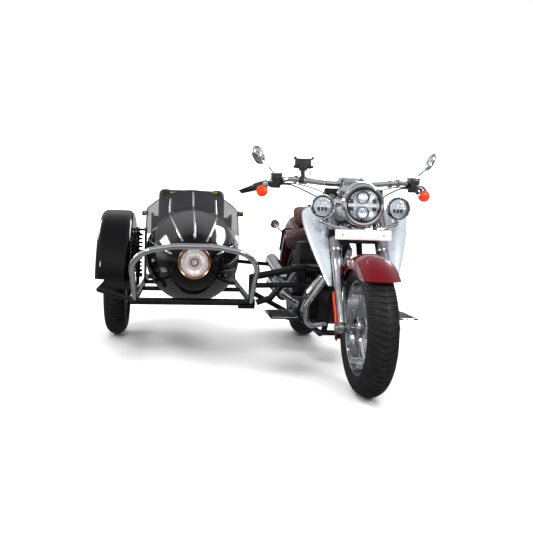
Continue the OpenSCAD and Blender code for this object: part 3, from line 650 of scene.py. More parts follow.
def pipe(name, paths, diameter, material, body, replaced=(), bend=45.0, sides=20):
    line = bpy.data.curves.new(name, "CURVE")
    line.dimensions = "3D"
    for path in paths:
        spline = line.splines.new("POLY")
        spline.points.add(len(path) - 1)
        for point, place in zip(spline.points, path):
            point.co = (*at(*place), 1)
    source = bpy.data.objects.new(name, line)
    values = {"Radius": diameter / 2 * millimetre, "Bend": bend * millimetre, "Sides": sides,
              "Main": material}
    return grow(source, "pipe", name + "Pipe", values, body, replaced)


def fastener(kind):
    # heads drawn about Z, in metres, foot at 0
    if kind == "cap":
        outline = [(0, -2.0), (6.0, -2.0), (6.5, 0), (6.5, 5.0), (5.6, 6.2), (3.4, 6.2), (3.0, 3.4), (0, 3.4)]
        verts, faces = lathe(outline, (0, 0, 0), (0, 0, 1), 18)
    elif kind == "dome":
        outline = [(0, -2.0), (6.0, -2.0), (6.4, 0), (5.8, 2.4), (4.0, 4.2), (2.0, 5.0), (0, 5.3)]
        verts, faces = lathe(outline, (0, 0, 0), (0, 0, 1), 16)
    else:
        outline = [(0, -2.0), (9.5, -2.0), (9.5, 1.0), (7.4, 1.1), (7.4, 6.0), (6.6, 6.8), (0, 6.8)]
        verts, faces = lathe(outline, (0, 0, 0), (0, 0, 1), 6)
    head = looseObject(kind + "Head", [tuple(c * millimetre for c in v) for v in verts], faces)
    bpy.context.scene.collection.objects.link(head)
    return head


heads = {kind: fastener(kind) for kind in ("cap", "dome", "hex")}


def bolts(name, kind, spots, material, body, size=1.0):
    # spots: (place in mm, facing)
    source = looseObject(name, [tuple(at(*p)) for p, _ in spots], facing=[f for _, f in spots])
    return grow(source, "scatter", name, {"Piece": heads[kind], "Size": size, "Main": material}, body)


def aroundRing(centre, axis, radius, count, start=0.0):
    # places on a circle, all facing along the axis
    side, above, ahead = axes(axis)
    out = []
    for i in range(count):
        a = math.radians(start) + 2 * math.pi * i / count
        spot = Vector(centre) + (side * math.cos(a) + above * math.sin(a)) * radius
        out.append((tuple(spot), tuple(ahead)))
    return out


# tyres: one pitch of tread, repeated round the axle
tyreSettings = {
    # node: axle place, outer radius, width, rim lip radius, rim half width, pitches, body
    "front_tire": ("frontTyre", (0, -1635, 321), 321, 140, 228, 50, 66, "front_wheel"),
    "rear_tire": ("rearTyre", (0, 0, 326), 326, 190, 218, 70, 60, "rear_wheel"),
    "side_tire": ("sideTyre", (-1280, -30, 320), 320, 140, 228, 50, 66, "sidecar_wheel"),
}
tread = {"depth": 5.5, "sipeDepth": 3.2, "slant": 0.10, "grooveWide": 11.0, "grooveThin": 2.6, "lean": 1.15}


def makeTyre(node, name, centre, radius, width, lip, half, pitches, body):
    middle = radius - width / 2
    edge = math.degrees(math.acos((lip - middle) / (width / 2)))
    angles = [0, 2.5, 5, 9, 14, 20, 26, 32, 38, 44, 50, 56, 62, 68, 72, 75, 78, 82, 85, 88, 92, 94, 98, 103,
              edge]
    section = sorted({-a for a in angles} | set(angles))
    pitch = 2 * math.pi / pitches
    rows = []
    for degrees in section:
        b = math.radians(degrees)
        out = abs(degrees)
        shape = width / 2
        rib = 1.2 if 84 < out < 93 else 0.0
        share = min(out / 78, 1.0)
        wide = (tread["grooveWide"] * (1 - share) ** 0.8 + tread["grooveThin"]) / radius
        lean = tread["slant"] * math.sin(math.radians(min(out, 80))) ** 1.4
        groove = tread["depth"] * (1 if 2 < out < 60 else max(0.0,
                                                              1 - (out - 60) / 16) if out >= 60 else 0.35)
        sipe = tread["sipeDepth"] if 24 < out < 77 else 0.0
        rows.append((b, shape - 1.4 + rib, wide, lean, groove, sipe))
    verts, count = [], 9
    for b, shape, wide, lean, groove, sipe in rows:
        steps = [(-wide / 2, 0), (-wide / 2 + 0.004, groove), (wide / 2 - 0.004, groove), (wide / 2, 0),
                 (pitch / 2 - 0.006, 0), (pitch / 2 - 0.002, sipe), (pitch / 2 + 0.002, sipe),
                 (pitch / 2 + 0.006, 0), (pitch - wide / 2, 0)]
        for turn, depth in steps:
            reach = middle + (shape - depth) * math.cos(b)
            across = (shape - depth) * math.sin(b)
            a = turn + lean
            verts.append((centre[0] + across, centre[1] - reach * math.cos(a),
                          centre[2] + reach * math.sin(a)))
    for across in (half - 6, -half + 6):  # the bead, then the inside
        for turn in (s[0] for s in steps):
            verts.append((centre[0] + across, centre[1] - (lip - 12) * math.cos(turn),
                          centre[2] + (lip - 12) * math.sin(turn)))
    rings = len(verts) // count
    faces, second = [], []
    for r in range(rings):
        for i in range(count - 1):
            nextRing = (r + 1) % rings
            faces.append((r * count + i, r * count + i + 1, nextRing * count + i + 1, nextRing * count + i))
            grooved = r < len(section) - 1 and 20 < abs(math.degrees(rows[r][0])) < 77
            second.append(grooved and i == 5)
    source = looseObject(name, [tuple(at(*v)) for v in verts], faces, second)
    values = {"Count": pitches, "Centre": tuple(at(*centre)), "Axis": (-1.0, 0.0, 0.0), "Weld": 0.00004,
              "Main": "tyre", "Second": "grooveDust"}
    piece = grow(source, "ring", name, values, body, (node,), angle=32)
    fixNormals(piece)


def fixNormals(piece):
    grid = bmesh.new()
    grid.from_mesh(piece.data)
    bmesh.ops.recalc_face_normals(grid, faces=grid.faces)
    grid.to_mesh(piece.data)
    grid.free()


for node, settings in tyreSettings.items():
    makeTyre(node, *settings)
print("tyres finished")


# wheel trim: rolled lips, dished steps, hub faces, nuts and valves
wheels = {
    "front": dict(centre=(0, -1635, 321), lip=228, half=50, disc=24, body="front_wheel", outer=-1, hub=50),
    "rear": dict(centre=(0, 0, 326), lip=218, half=70, disc=24, body="rear_wheel", outer=-1, hub=50),
    "side": dict(centre=(-1280, -30, 320), lip=228, half=50, disc=10, body="sidecar_wheel", outer=-1, hub=50),
}


def makeWheelTrim(name, centre, lip, half, disc, body, outer, hub):
    shape = Shape()
    x, y, z = centre
    for hand in (-1, 1):
        bead = [(lip - 20, half - 16), (lip - 19, half - 4), (lip - 14, half + 2.0), (lip - 6, half + 3.5),
                (lip - 1, half + 1.5), (lip - 0.5, half - 3), (lip - 6, half - 8), (lip - 14, half - 14)]
        verts, faces = lathe([(r, hand * a) for r, a in bead + bead[:1]], centre, (1, 0, 0), 96)
        shape.add(verts, faces)
    # dish steps pressed in the disc's near face
    for radius, wide, tall in ((lip - 30, 7, 5), (lip - 74, 5, 3), (hub + 34, 8, 6)):
        ridge = [(radius - wide, disc), (radius - wide / 2, disc - tall * 0.8), (radius, disc - tall),
                 (radius + wide / 2, disc - tall * 0.8), (radius + wide, disc)]
        verts, faces = lathe([(r, a + 0.4) for r, a in ridge], centre, (1, 0, 0), 96)
        shape.add(verts, faces)
    flank = [(hub - 22, -57.5), (hub - 8, -57.5), (hub + 1.5, -56), (hub + 4, -52), (hub + 4, -44),
             (hub + 0.8, -41),
             (hub + 0.8, -20), (hub + 3.2, -17), (hub + 3.2, 8), (hub + 12, 14), (hub + 24, 17)]
    verts, faces = lathe(flank, centre, (1, 0, 0), 64)
    shape.add(verts, faces)
    build(name + "WheelTrim", shape, ["chrome"], body,
          angle=30)
    spots = [(p, (-1, 0, 0)) for p, _ in aroundRing((x + disc - 0.5, y, z), (-1, 0, 0), hub + 12, 8)]
    bolts(name + "HubNuts", "cap", spots, "chrome", body, 0.8)
    stem = Shape()
    valve = [(x + disc - 1, y, z + lip - 60), (x + disc - 16, y, z + lip - 66),
             (x + disc - 34, y, z + lip - 72)]
    stem.add(*tube(valve, 4.2, 10, 12))
    build(name + "Valve", stem, ["rubber"], body)


for name, settings in wheels.items():
    makeWheelTrim(name, **settings)
print("wheel trim finished")


# chrome strips that follow the tub and run on up the screen
tubShape = {"noseEnd": -1170, "ballRadius": 170, "ballMiddle": -1000, "join": -450, "screenFoot": -365,
            "screenTop": -205, "screenRadius": 400}


def bodyRadius(y):
    # the tub's radius at a station along its axis
    t = tubShape
    gap = t["join"] - t["ballMiddle"]
    big = (gap * gap + tubRadius ** 2 - t["ballRadius"] ** 2) / (2 * (tubRadius - t["ballRadius"]))
    if y <= t["ballMiddle"] - t["ballRadius"] * gap / (big - t["ballRadius"]):
        return math.sqrt(max(t["ballRadius"] ** 2 - (y - t["ballMiddle"]) ** 2, 0.0))
    if y < t["join"]:
        return tubRadius - big + math.sqrt(big * big - (y - t["join"]) ** 2)
    return tubRadius


def onBody(degrees, y, lift=0.0):
    a = math.radians(degrees)
    r = bodyRadius(y) + lift
    return (tubMiddle + r * math.cos(a), y, tubAxis + r * math.sin(a))


def onScreen(across, y, lift=0.0):
    # across: sideways from the tub's middle plane
    t = tubShape
    share = (y - t["screenFoot"]) / (t["screenTop"] - t["screenFoot"])
    r = 285.3 + (t["screenRadius"] - 285.3) * share + 5 + lift
    return (tubMiddle + across, y, tubAxis + math.sqrt(max(r * r - across * across, 1.0)))


def strip(shape, spots, wide, tall):
    # a half-round moulding; spots: (place, outward normal)
    rings = []
    for i, (place, normal) in enumerate(spots):
        spot, out = Vector(place), Vector(normal).normalized()
        ahead = Vector(spots[min(i + 1, len(spots) - 1)][0]) - Vector(spots[max(i - 1, 0)][0])
        side = ahead.cross(out).normalized()
        outline = [(-1, -0.3), (-0.92, 0.35), (-0.55, 0.85), (0, 1.0), (0.55, 0.85), (0.92, 0.35), (1, -0.3)]
        rings.append([tuple(spot + side * wide / 2 * u + out * tall * v) for u, v in outline])
    shape.add(*loft(rings))


def bodyNormal(degrees):
    a = math.radians(degrees)
    return (math.cos(a), 0.0, math.sin(a))


strips = {"wide": 11.0, "tall": 3.4, "upper": (90, 60, 120), "lower": (19, 161), "upperStart": -1118,
          "lowerStart": -1118, "lowerEnd": -300}


def makeStrips():
    s = strips
    shape = Shape()
    for degrees in s["upper"]:
        spots = []
        for i in range(41):
            y = s["upperStart"] + (tubShape["screenFoot"] - s["upperStart"]) * i / 40
            slope = (bodyRadius(y + 1) - bodyRadius(y - 1)) / 2
            nx, _, nz = bodyNormal(degrees)
            spots.append((onBody(degrees, y), (nx, -slope, nz)))
        strip(shape, spots, s["wide"], s["tall"])
        across = math.cos(math.radians(degrees)) * (tubRadius + 5)
        last = -232 if degrees == 90 else -258
        spots = []
        for i in range(17):
            y = tubShape["screenFoot"] + 3 + (last - tubShape["screenFoot"]) * i / 16
            place = onScreen(across, y)
            normal = (place[0] - tubMiddle, -0.72 * 290, place[2] - tubAxis)
            spots.append((place, normal))
        strip(shape, spots, s["wide"], s["tall"])
    for degrees in s["lower"]:
        spots = []
        for i in range(61):
            y = s["lowerStart"] + (s["lowerEnd"] - s["lowerStart"]) * i / 60
            slope = (bodyRadius(y + 1) - bodyRadius(y - 1)) / 2
            nx, _, nz = bodyNormal(degrees)
            spots.append((onBody(degrees, y), (nx, -slope, nz)))
        strip(shape, spots, s["wide"], s["tall"])
    build("tubStrips", shape, ["chrome"], "chassis", angle=60)


makeStrips()


# nose lamp: copper rim, bowl, fluted glass and bulb
noseLamp = {"front": -1175, "back": -1120, "radius": 86.0, "flutes": 44}


def makeNoseLamp():
    s = noseLamp
    centre = (tubMiddle, s["front"], tubAxis)
    shape = Shape()
    rim = [(s["radius"] - 13, 12), (s["radius"] - 13, 4), (s["radius"] - 10, 0.5), (s["radius"] - 5, -1.5),
           (s["radius"] - 1.5, 1.5), (s["radius"], 8), (s["radius"], 50), (s["radius"] - 4, 54)]
    shape.add(*lathe(rim, centre, (0, 1, 0), 72), 0)
    bowl = [(s["radius"] - 12, 9), (s["radius"] - 16, 16), (58, 30), (44, 38), (24, 44), (10, 46), (0, 46)]
    shape.add(*lathe(bowl, centre, (0, 1, 0), 64), 1)
    shape.add(*lathe([(22, 17), (24, 22), (20, 34), (14, 42)], centre, (0, 1, 0), 32), 0)
    shape.add(*ball((tubMiddle, s["front"] + 24, tubAxis), (13, 13, 13)), 2)
    # the bowl's reflector finish carries a painted glow
    build("noseLamp", shape, ["copper", "reflector", "plateWhite"], "chassis", ("nose_lamp",),
          angle=40)
    glass = Shape()
    count, rows = s["flutes"] * 4, [0.0, 0.12, 0.25, 0.38, 0.55, 0.72, 0.86, 1.0]
    verts = []
    for share in rows:
        for i in range(count):
            a = 2 * math.pi * i / count
            ripple = 0.9 * math.cos(a * s["flutes"]) * (1 if share > 0.3 else 0.0)
            r = share * (s["radius"] - 12.4)
            verts.append((tubMiddle + r * math.cos(a),
                          s["front"] + 1.5 + 9 * share ** 2 + ripple * min(share, 0.7),
                          tubAxis + r * math.sin(a)))
    faces = [(r * count + i, r * count + (i + 1) % count, (r + 1) * count + (i + 1) % count,
              (r + 1) * count + i)
             for r in range(len(rows) - 1) for i in range(count)]
    glass.add(verts, faces)
    build("noseLens", glass, ["lens"], "chassis", angle=0, wall=1.6)
    spots = [(p, (0, -1, 0)) for p, _ in aroundRing((tubMiddle, s["front"] - 0.4, tubAxis), (0, -1, 0),
                                                     s["radius"] - 5, 3, 90)]
    bolts("noseLampScrews", "dome", spots, "brass", "chassis", 0.55)


makeNoseLamp()


# windscreen fittings: brass wing nuts on collars, dark caps behind the lower pair
screenFittings = {"places": ((-1091, -212, 815, -50), (-489, -212, 827, 50), (-920, -205, 943, -20),
                             (-657, -205, 948, 20))}


def makeFittings():
    shape = Shape()
    caps = Shape()
    for x, y, z, lean in screenFittings["places"]:
        out = Vector((math.sin(math.radians(lean)), -0.35, math.cos(math.radians(lean)))).normalized()
        place = Vector((x, y, z))
        shape.add(*lathe([(0, -16), (7, -16), (7, -4), (11, -3), (11, 3), (7, 5), (6, 12), (5, 15), (0, 16)],
                         place, out, 20))
        side = axes(out)[0]
        for hand in (-1, 1):
            root, tip = place + out * 8 + side * 5 * hand, place + out * 17 + side * 21 * hand
            shape.add(*tube([root, (root + tip) / 2 + out * 1.5, tip],
                            lambda t: 4.2 + 2.4 * math.sin(3.1 * t), 6, 10))
    for x, y, z, lean in screenFittings["places"][:2]:
        hand = -1 if lean < 0 else 1
        caps.add(*slab((x - 20 + 8 * hand, y + 6, z - 14), (x + 20 + 8 * hand, y + 40, z + 20), 8, 4))
    build("screenWingNuts", shape, ["brass"], "chassis", angle=45)
    build("screenCaps", caps, ["lampBlack"], "chassis", angle=45)
    rim = Shape()
    points = [onScreen(across, tubShape["screenTop"] - 2, -2.5) for across in range(-292, 293, 16)]
    rim.add(*tube(points, 4.0, 8, 10, smooth=False))
    for hand in (-1, 1):
        side = [onScreen(292 * hand, y, -2.5) for y in (-352, -320, -290, -260, -230, -207)]
        rim.add(*tube(side, 3.6, 8, 10, smooth=False))
    build("screenRim", rim, ["smokedScreen"], "chassis", angle=60)


makeFittings()
print("tub trim, lamp and screen fittings finished")


# bent tubes with even bends
railOut, railIn = -1110, -476
pipes = {
    "bumper": ("bumper", 30, "chrome", "chassis", 400, [[
        (railOut + 4, -970, 352), (railOut + 4, -1180, 500), (-1111, -1262, 585), (-1023, -1292, 638),
        (-893, -1302, 662), (-693, -1302, 662), (-563, -1292, 638), (-463, -1262, 585),
        (railIn - 2, -1180, 500),
        (railIn - 4, -998, 355)]]),
    "handlebar": ("handleBar", 28, "chrome", "steering", 200, [[
        (-532, -847, 962), (-432, -1030, 984), (-330, -1120, 1024), (-110, -1190, 1000), (110, -1190, 1000),
        (330, -1120, 1024), (432, -1030, 984), (532, -847, 962)]]),
    "engine_guard": ("engineGuard", 30, "chrome", "chassis", 60, [
        [(h * 44, -1265, 590), (h * 110, -1290, 540), (h * 225, -1262, 370), (h * 215, -1250, 262),
         (h * 96, -1152, 262)] for h in (-1, 1)]),
    "lamp_bar": ("lampBar", 22, "chrome", "steering", 200, [
        [(-189, -1416, 812), (-189, -1420, 804), (-125, -1446, 777), (0, -1462, 770), (125, -1446, 777),
         (189, -1420, 804), (189, -1416, 812)],
        [(-112, -1450, 776), (-112, -1372, 776)], [(112, -1450, 776), (112, -1372, 776)],
        [(-62, -1455, 773), (-62, -1499, 768)], [(62, -1455, 773), (62, -1499, 768)]]),
    "saddlebag_stays": ("bagStays", 12, "frameBlack", "chassis", 40, [
        [(h * 126, -110, 740), (h * 172, -60, 735), (h * 176, 60, 560), (h * 126, 200, 730)] for h in (-1,
                                                                                                       1)]),
}
for node, (name, diameter, material, body, bend, paths) in pipes.items():
    pipe(name, paths, diameter, material, body, (node,), bend)
print("bent tubes finished")


# head lamp: nacelle, ring, twin projectors; fog lamps the same way
headLamp = {"x": 0, "front": -1488, "z": 888, "radius": 104, "glass": 83.0}
fogLamp = {"x": 189, "front": -1442, "z": 877, "radius": 59, "glass": 50.5}


def makeNacelle():
    h = headLamp
    shape = Shape()
    rings = []
    # front ring to the back of the shroud: (y, half width, top, bottom, squareness)
    stations = [(-1478, 100, 100, 100, 2.0), (-1462, 103, 103, 104, 2.05), (-1435, 106, 106, 108, 2.2),
                (-1400, 110, 108, 111, 2.5), (-1360, 114, 106, 112, 2.8), (-1330, 115, 100, 110, 3.0),
                (-1318, 112, 92, 104, 3.0)]
    count = 64
    for y, half, top, bottom, power in stations:
        ring = []
        for i in range(count):
            a = 2 * math.pi * i / count
            c, s = math.cos(a), math.sin(a)
            across = math.copysign(abs(c) ** (2 / power), c) * half
            tall = math.copysign(abs(s) ** (2 / power), s) * (top if s > 0 else bottom)
            ring.append((h["x"] + across, y, h["z"] + tall))
        rings.append(ring)
    shape.add(*loft(rings, caps=False))
    shape.add(*lathe([(88, 0), (88, 20), (92, 30), (99, 34)], (h["x"], -1490, h["z"]), (0, 1, 0), 72))
    build("nacelleShroud", shape, ["chrome"], "steering", ("nacelle",), angle=30, wall=2.4)
    brow = Shape()
    crest = []
    for y, half, rise in ((-1496, 100, 1.5), (-1470, 104, 5), (-1430, 108, 7), (-1390, 112, 4)):
        crest.append([(half * math.sin(a), y, h["z"] + (half + rise) * math.cos(a))
                      for a in (math.radians(-58 + 116 * i / 28) for i in range(29))])
    brow.add(*loft(crest, closed=False, caps=False))
    build("nacelleBrow", brow, ["chrome"], "steering", angle=40, wall=2.0)


def makeLampUnit(name, x, front, z, radius, glass, twin):
    rim = Shape()
    ring = [(glass - 3, 16), (glass - 3, 4), (glass, 0), (glass + 2, -3.5),
            (glass + (radius - glass) * 0.5, -7),
            (radius - 2.5, -4.5), (radius - 0.5, 2), (radius - 0.5, 14), (radius - 4, 20), (radius - 8, 20)]
    rim.add(*lathe(ring, (x, front, z), (0, 1, 0), 80), 0)
    trim = [(glass - 3.2, 3), (glass - 5, 4), (glass - 8, 9), (glass - 9, 13), (glass - 3.4, 14)]
    rim.add(*lathe(trim, (x, front, z), (0, 1, 0), 72), 1)
    build(name + "Ring", rim, ["chrome", "lampBlack"], "steering", angle=35)
    inside = Shape()
    inside.add(*lathe([(glass - 6, 11), (glass - 16, 24), (glass - 34, 34), (8, 38), (0, 38)], (x, front, z),
                      (0, 1, 0), 56), 0)
    if twin:
        for side in (-1, 1):
            eye = (x, front + 12, z + side * glass * 0.44)
            inside.add(*lathe([(31, 14), (31, 2), (29, 0), (26.5, 1), (25, 6), (24.5, 13)], eye, (0, 1, 0),
                              40), 1)
            bulb = [(24.5, 10), (22, 2.5), (17, -2.5), (10, -5.5), (4, -6.6), (0, -6.8)]
            inside.add(*lathe(bulb, eye, (0, 1, 0), 40), 2)
        for side in (-1, 1):
            inside.add(*slab((x + side * 34 - (0 if side > 0 else 40), front + 10, z - 5),
                             (x + side * 34 + (40 if side > 0 else 0), front + 24, z + 5), 2, 2), 0)
            for row in (-1, 1):
                inside.add(*slab((x + side * 56 - 9, front + 12, z + row * 18 - 10),
                                 (x + side * 56 + 9, front + 26, z + row * 18 + 10), 3, 2), 1)
        inside.add(*slab((x - 34, front + 9, z - 4.5), (x + 34, front + 24, z + 4.5), 2, 2), 0)
    else:
        for step in (-1, 0, 1):
            inside.add(*slab((x + step * 17 - 6, front + 10, z - 22),
                             (x + step * 17 + 6, front + 24, z - 2), 2.5, 2), 1)
            inside.add(*slab((x + step * 21 - 9, front + 11, z + 4),
                             (x + step * 21 + 9, front + 24, z + 22), 5, 3), 0)
        inside.add(*slab((x - 40, front + 10, z - 1.5), (x + 40, front + 18, z + 2.5), 1, 2), 0)
        inside.add(*lathe([(13, 14), (12, 6), (8, 3), (0, 2)], (x, front + 8, z - 32), (0, 1, 0), 24), 2)
    # the reflector finish inside the lamp carries a painted glow, though the lamp is not lit
    build(name + "Inside", inside, ["reflector", "lampBlack", "lens"], "steering", angle=35)
    cover = Shape()
    cover.add(*lathe([(glass - 2.5, 4), (glass * 0.8, 0.5), (glass * 0.5, -1.6), (glass * 0.2, -2.6),
                      (0, -2.8)],
                     (x, front, z), (0, 1, 0), 56))
    return cover


makeNacelle()
covers = Shape()
lampCovers = [makeLampUnit("headLamp", **headLamp, twin=True)]
for hand, name in ((1, "fogLampLeft"), (-1, "fogLampRight")):
    lampCovers.append(makeLampUnit(name, **{**fogLamp, "x": hand * fogLamp["x"]}, twin=False))
for cover in lampCovers:
    covers.add(cover.verts, cover.faces)
build("lampCovers", covers, ["lens"], "steering", ("lamp_glass",), angle=0, wall=1.2)
cups = Shape()
for hand in (-1, 1):
    back = [(57, 4), (58.5, 12), (56, 26), (49, 42), (38, 56), (24, 66), (10, 70), (0, 70)]
    cups.add(*lathe(back, (hand * fogLamp["x"], fogLamp["front"], fogLamp["z"]), (0, 1, 0), 56))
    stem = [(hand * 189, -1416, 812), (hand * 189, -1416, 824)]
    cups.add(*tube(stem, 11, 8, 20, smooth=False))
build("fogLampCups", cups, ["chrome"], "steering", ("fog_lamps",), angle=40)
clips = [((hand * 189, -1416, 806), (0, -1, -0.3)) for hand in (-1, 1)]
bolts("fogLampNuts", "hex", clips, "chrome", "steering", 1.2)
print("lamps finished")


# leg shields: tapering crowned panels beside the fork
shield = {"bulge": 16.0, "return": 20.0, "wall": 2.6,
          # w along the fork, inner edge, outer edge
          "edges": ((560, 150, 166), (578, 149, 172), (620, 148, 186), (700, 147, 214), (780, 147, 238),
                    (860, 148, 258), (920, 149, 268), (960, 150, 270), (985, 152, 262), (997, 156, 236))}


def makeShields():
    s = shield
    shape = Shape()
    across = [0, 0.03, 0.1, 0.22, 0.38, 0.55, 0.72, 0.86, 0.95, 1.0]
    rings = []
    for w, inner, outer in s["edges"]:
        row = []
        for t in across:
            u = inner + (outer - inner) * t
            wide = (outer - inner) / 120
            crown = s["bulge"] * wide * (1 - (2 * t - 0.9) ** 2)
            row.append((u, forkLine + 2 - crown, w))
        row.insert(0, (inner + 1.0, forkLine + 2 + s["return"] * min(wide, 0.6), w))
        row.append((outer - 1.0, forkLine + 2 + s["return"] * min(wide, 0.7), w))
        rings.append([steer(*p) for p in row])
    verts, faces = loft(rings, closed=False, caps=False)
    shape.both(verts, faces)
    build("legShields", shape, ["shieldSilver"], "steering", ("leg_shields",), angle=50,
          wall=s["wall"], levels=1)
    spots = []
    for hand in (-1, 1):
        place = steer(hand * 158, forkLine - 1, 604)
        spots.append((place, (0, -math.cos(rake), math.sin(rake))))
    bolts("shieldScrews", "dome", spots, "chrome", "steering", 0.8)


makeShields()


# fork: brushed upper covers with collars, polished legs with a waist, side reflectors
forkSettings = {"half": 115, "coverRadius": 30.3, "legRadius": 27.3, "foot": 346, "coverFoot": 746,
                "coverTop": 1066}


def makeFork():
    f = forkSettings
    direction = Vector(steer(0, 0, 1)) - Vector(steer(0, 0, 0))
    covers, legs, marks = Shape(), Shape(), Shape()
    for hand in (-1, 1):
        foot = steer(hand * f["half"], forkLine, 0)
        r = f["coverRadius"]
        cover = [(r - 5, f["coverFoot"] - 1), (r - 1, f["coverFoot"] - 1), (r, f["coverFoot"] + 1),
                 (r, f["coverFoot"] + 16), (r - 1.6, f["coverFoot"] + 17.5), (r - 1.6, f["coverFoot"] + 20),
                 (r - 0.4, f["coverFoot"] + 22), (r - 0.4, f["coverTop"] - 4), (r - 3, f["coverTop"]),
                 (0, f["coverTop"])]
        covers.add(*lathe(cover, foot, direction, 48))
        r = f["legRadius"]
        leg = [(0, f["foot"] - 8), (12, f["foot"] - 6), (r - 6, f["foot"] + 4), (r - 4.5, f["foot"] + 26),
               (r - 4, f["foot"] + 60), (r - 2.5, f["foot"] + 100), (r - 0.5, f["foot"] + 160),
               (r, f["foot"] + 210), (r, f["coverFoot"] - 62), (r + 1.4, f["coverFoot"] - 58),
               (r + 1.4, f["coverFoot"] - 34), (r, f["coverFoot"] - 30), (r, f["coverFoot"] - 6),
               (r - 3, f["coverFoot"] + 2)]
        legs.add(*lathe(leg, foot, direction, 48))
        legs.add(*lathe([(11, 0), (27, 0), (27.5, 1.5), (27.5, 52.5), (27, 54), (11, 54)],
                        (hand * f["half"] - 27, -1635, 321), (1, 0, 0), 40))
        inner = hand * (f["half"] - 28)
        for w in (f["foot"] + 285, f["foot"] + 240):
            legs.add(*lathe([(0, 0), (13, 0), (13, 4), (9, 6), (0, 6)], steer(inner, forkLine, w),
                            (-hand, 0, 0), 20))
        low, high = f["foot"] + 34, f["foot"] + 190
        for w0, w1 in ((low, high),):
            outline = [(-6, -5), (6, -5), (7, 0), (6, 3), (-6, 3), (-7, 0)]
            rings = [[steer(hand * (f["half"] + 29 + b), forkLine + 13 + a, w) for a, b in outline]
                     for w in (w0, w0 + 3, w1 - 3, w1)]
            marks.add(*loft(rings))
    build("forkCovers", covers, ["brushedSteel"], "steering", ("fork_covers",), angle=30)
    build("forkLegs", legs, ["alloy"], "steering", ("fork_legs",), angle=30)
    # the side reflectors' amber finish carries a painted glow
    build("sideReflectors", marks, ["amber"], "steering", angle=30, bevel=1.0)


makeFork()
print("shields and fork finished")


# number plate with a pressed border, and its screws
def makePlate():
    shape = Shape()
    shape.add(*slab((-138, -1503, 722), (138, -1499, 770), 1.2, 2))
    path = [(-132, -1503.4, 728), (132, -1503.4, 728), (132, -1503.4, 764), (-132, -1503.4, 764),
            (-132, -1503.4, 728)]
    shape.add(*tube(path, 1.1, 9, 8))
    build("frontPlate", shape, ["plateWhite"], "steering", ("front_plate",), angle=30)
    bolts("plateScrews", "dome", [((h * 100, -1503, 746), (0, -1, 0)) for h in (-1, 1)], "chrome", "steering",
          0.8)


makePlate()


# mirrors: drop-shaped shells on bent stems
mirror = {"head": (470, -1096, 1142), "lean": -24}


def makeMirrors():
    shells, glass, stems = Shape(), Shape(), Shape()
    # outline of the drop: (along, half width)
    drop = [(-58, 0), (-54, 16), (-44, 27), (-28, 36), (-8, 41), (12, 41), (30, 36), (44, 27), (53, 15),
            (57, 0)]
    outline = [(a, b) for a, b in drop] + [(a, -b) for a, b in drop[-2:0:-1]]
    for hand in (-1, 1):
        cx, cy, cz = hand * mirror["head"][0], mirror["head"][1], mirror["head"][2]
        lean = math.radians(mirror["lean"] * hand * -1)
        def spot(a, b, y, lean=lean, cx=cx, cy=cy, cz=cz, hand=hand):
            a, b = a * 0.93, b * (0.8 if hand < 0 else 0.5)
            return (cx + b * math.cos(lean) + a * math.sin(lean), cy + y,
                    cz + a * math.cos(lean) - b * math.sin(lean))
        rings = []
        for scale, y in ((1.0, 12), (1.0, 6), (0.97, -1), (0.88, -9), (0.7, -16), (0.45, -20.5),
                         (0.15, -22.5)):
            rings.append([spot(a * scale, b * scale, y) for a, b in outline])
        verts, faces = loft(rings, caps=False)
        faces.append(tuple(range(len(verts) - len(outline), len(verts))))
        shells.add(verts, faces)
        face = [[spot(a * k, b * k, 11) for a, b in outline] for k in (0.97, 0.5)]
        verts, faces = loft(face, caps=False)
        faces.append(tuple(range(len(outline), 2 * len(outline))))
        glass.add(verts, faces)
        base = Vector((hand * 372, -1092, 1008))
        stem = [base, base + Vector((hand * 6, 0, 26)), Vector((hand * 404, -1108, 1070)),
                Vector(spot(-34, 0, -16)) + Vector((0, -4, 0)), Vector(spot(-12, 0, -17))]
        stems.add(*tube(stem, lambda t: 5.6 - 1.8 * t, 30, 12))
        stems.add(*ball(spot(-12, 0, -17), (9, 7, 9)))
        stems.add(*lathe([(0, -8), (11, -8), (11, 4), (8, 8), (0, 8)], base, (0, 0, 1), 20))
    build("mirrorShells", shells, ["chrome"], "steering", ("mirrors",), angle=40, levels=1)
    # the mirror glass's reflector finish glows: a painted reflection
    build("mirrorGlass", glass, ["reflector"], "steering", angle=20)
    build("mirrorStems", stems, ["chrome"], "steering", angle=40)


makeMirrors()


# hand controls: black housings, chrome levers, master cylinders, amber indicators, grips with rings
controls = {"housing": ((345, -1112, 1015), (404, -1062, 994)),
            "leverPath": ((396, -1092, 1012), (430, -1075, 1008),
            (470, -1022, 996), (512, -945, 978), (549, -866, 964)),
            "grip": ((434, -1026, 983), (532, -847, 962))}


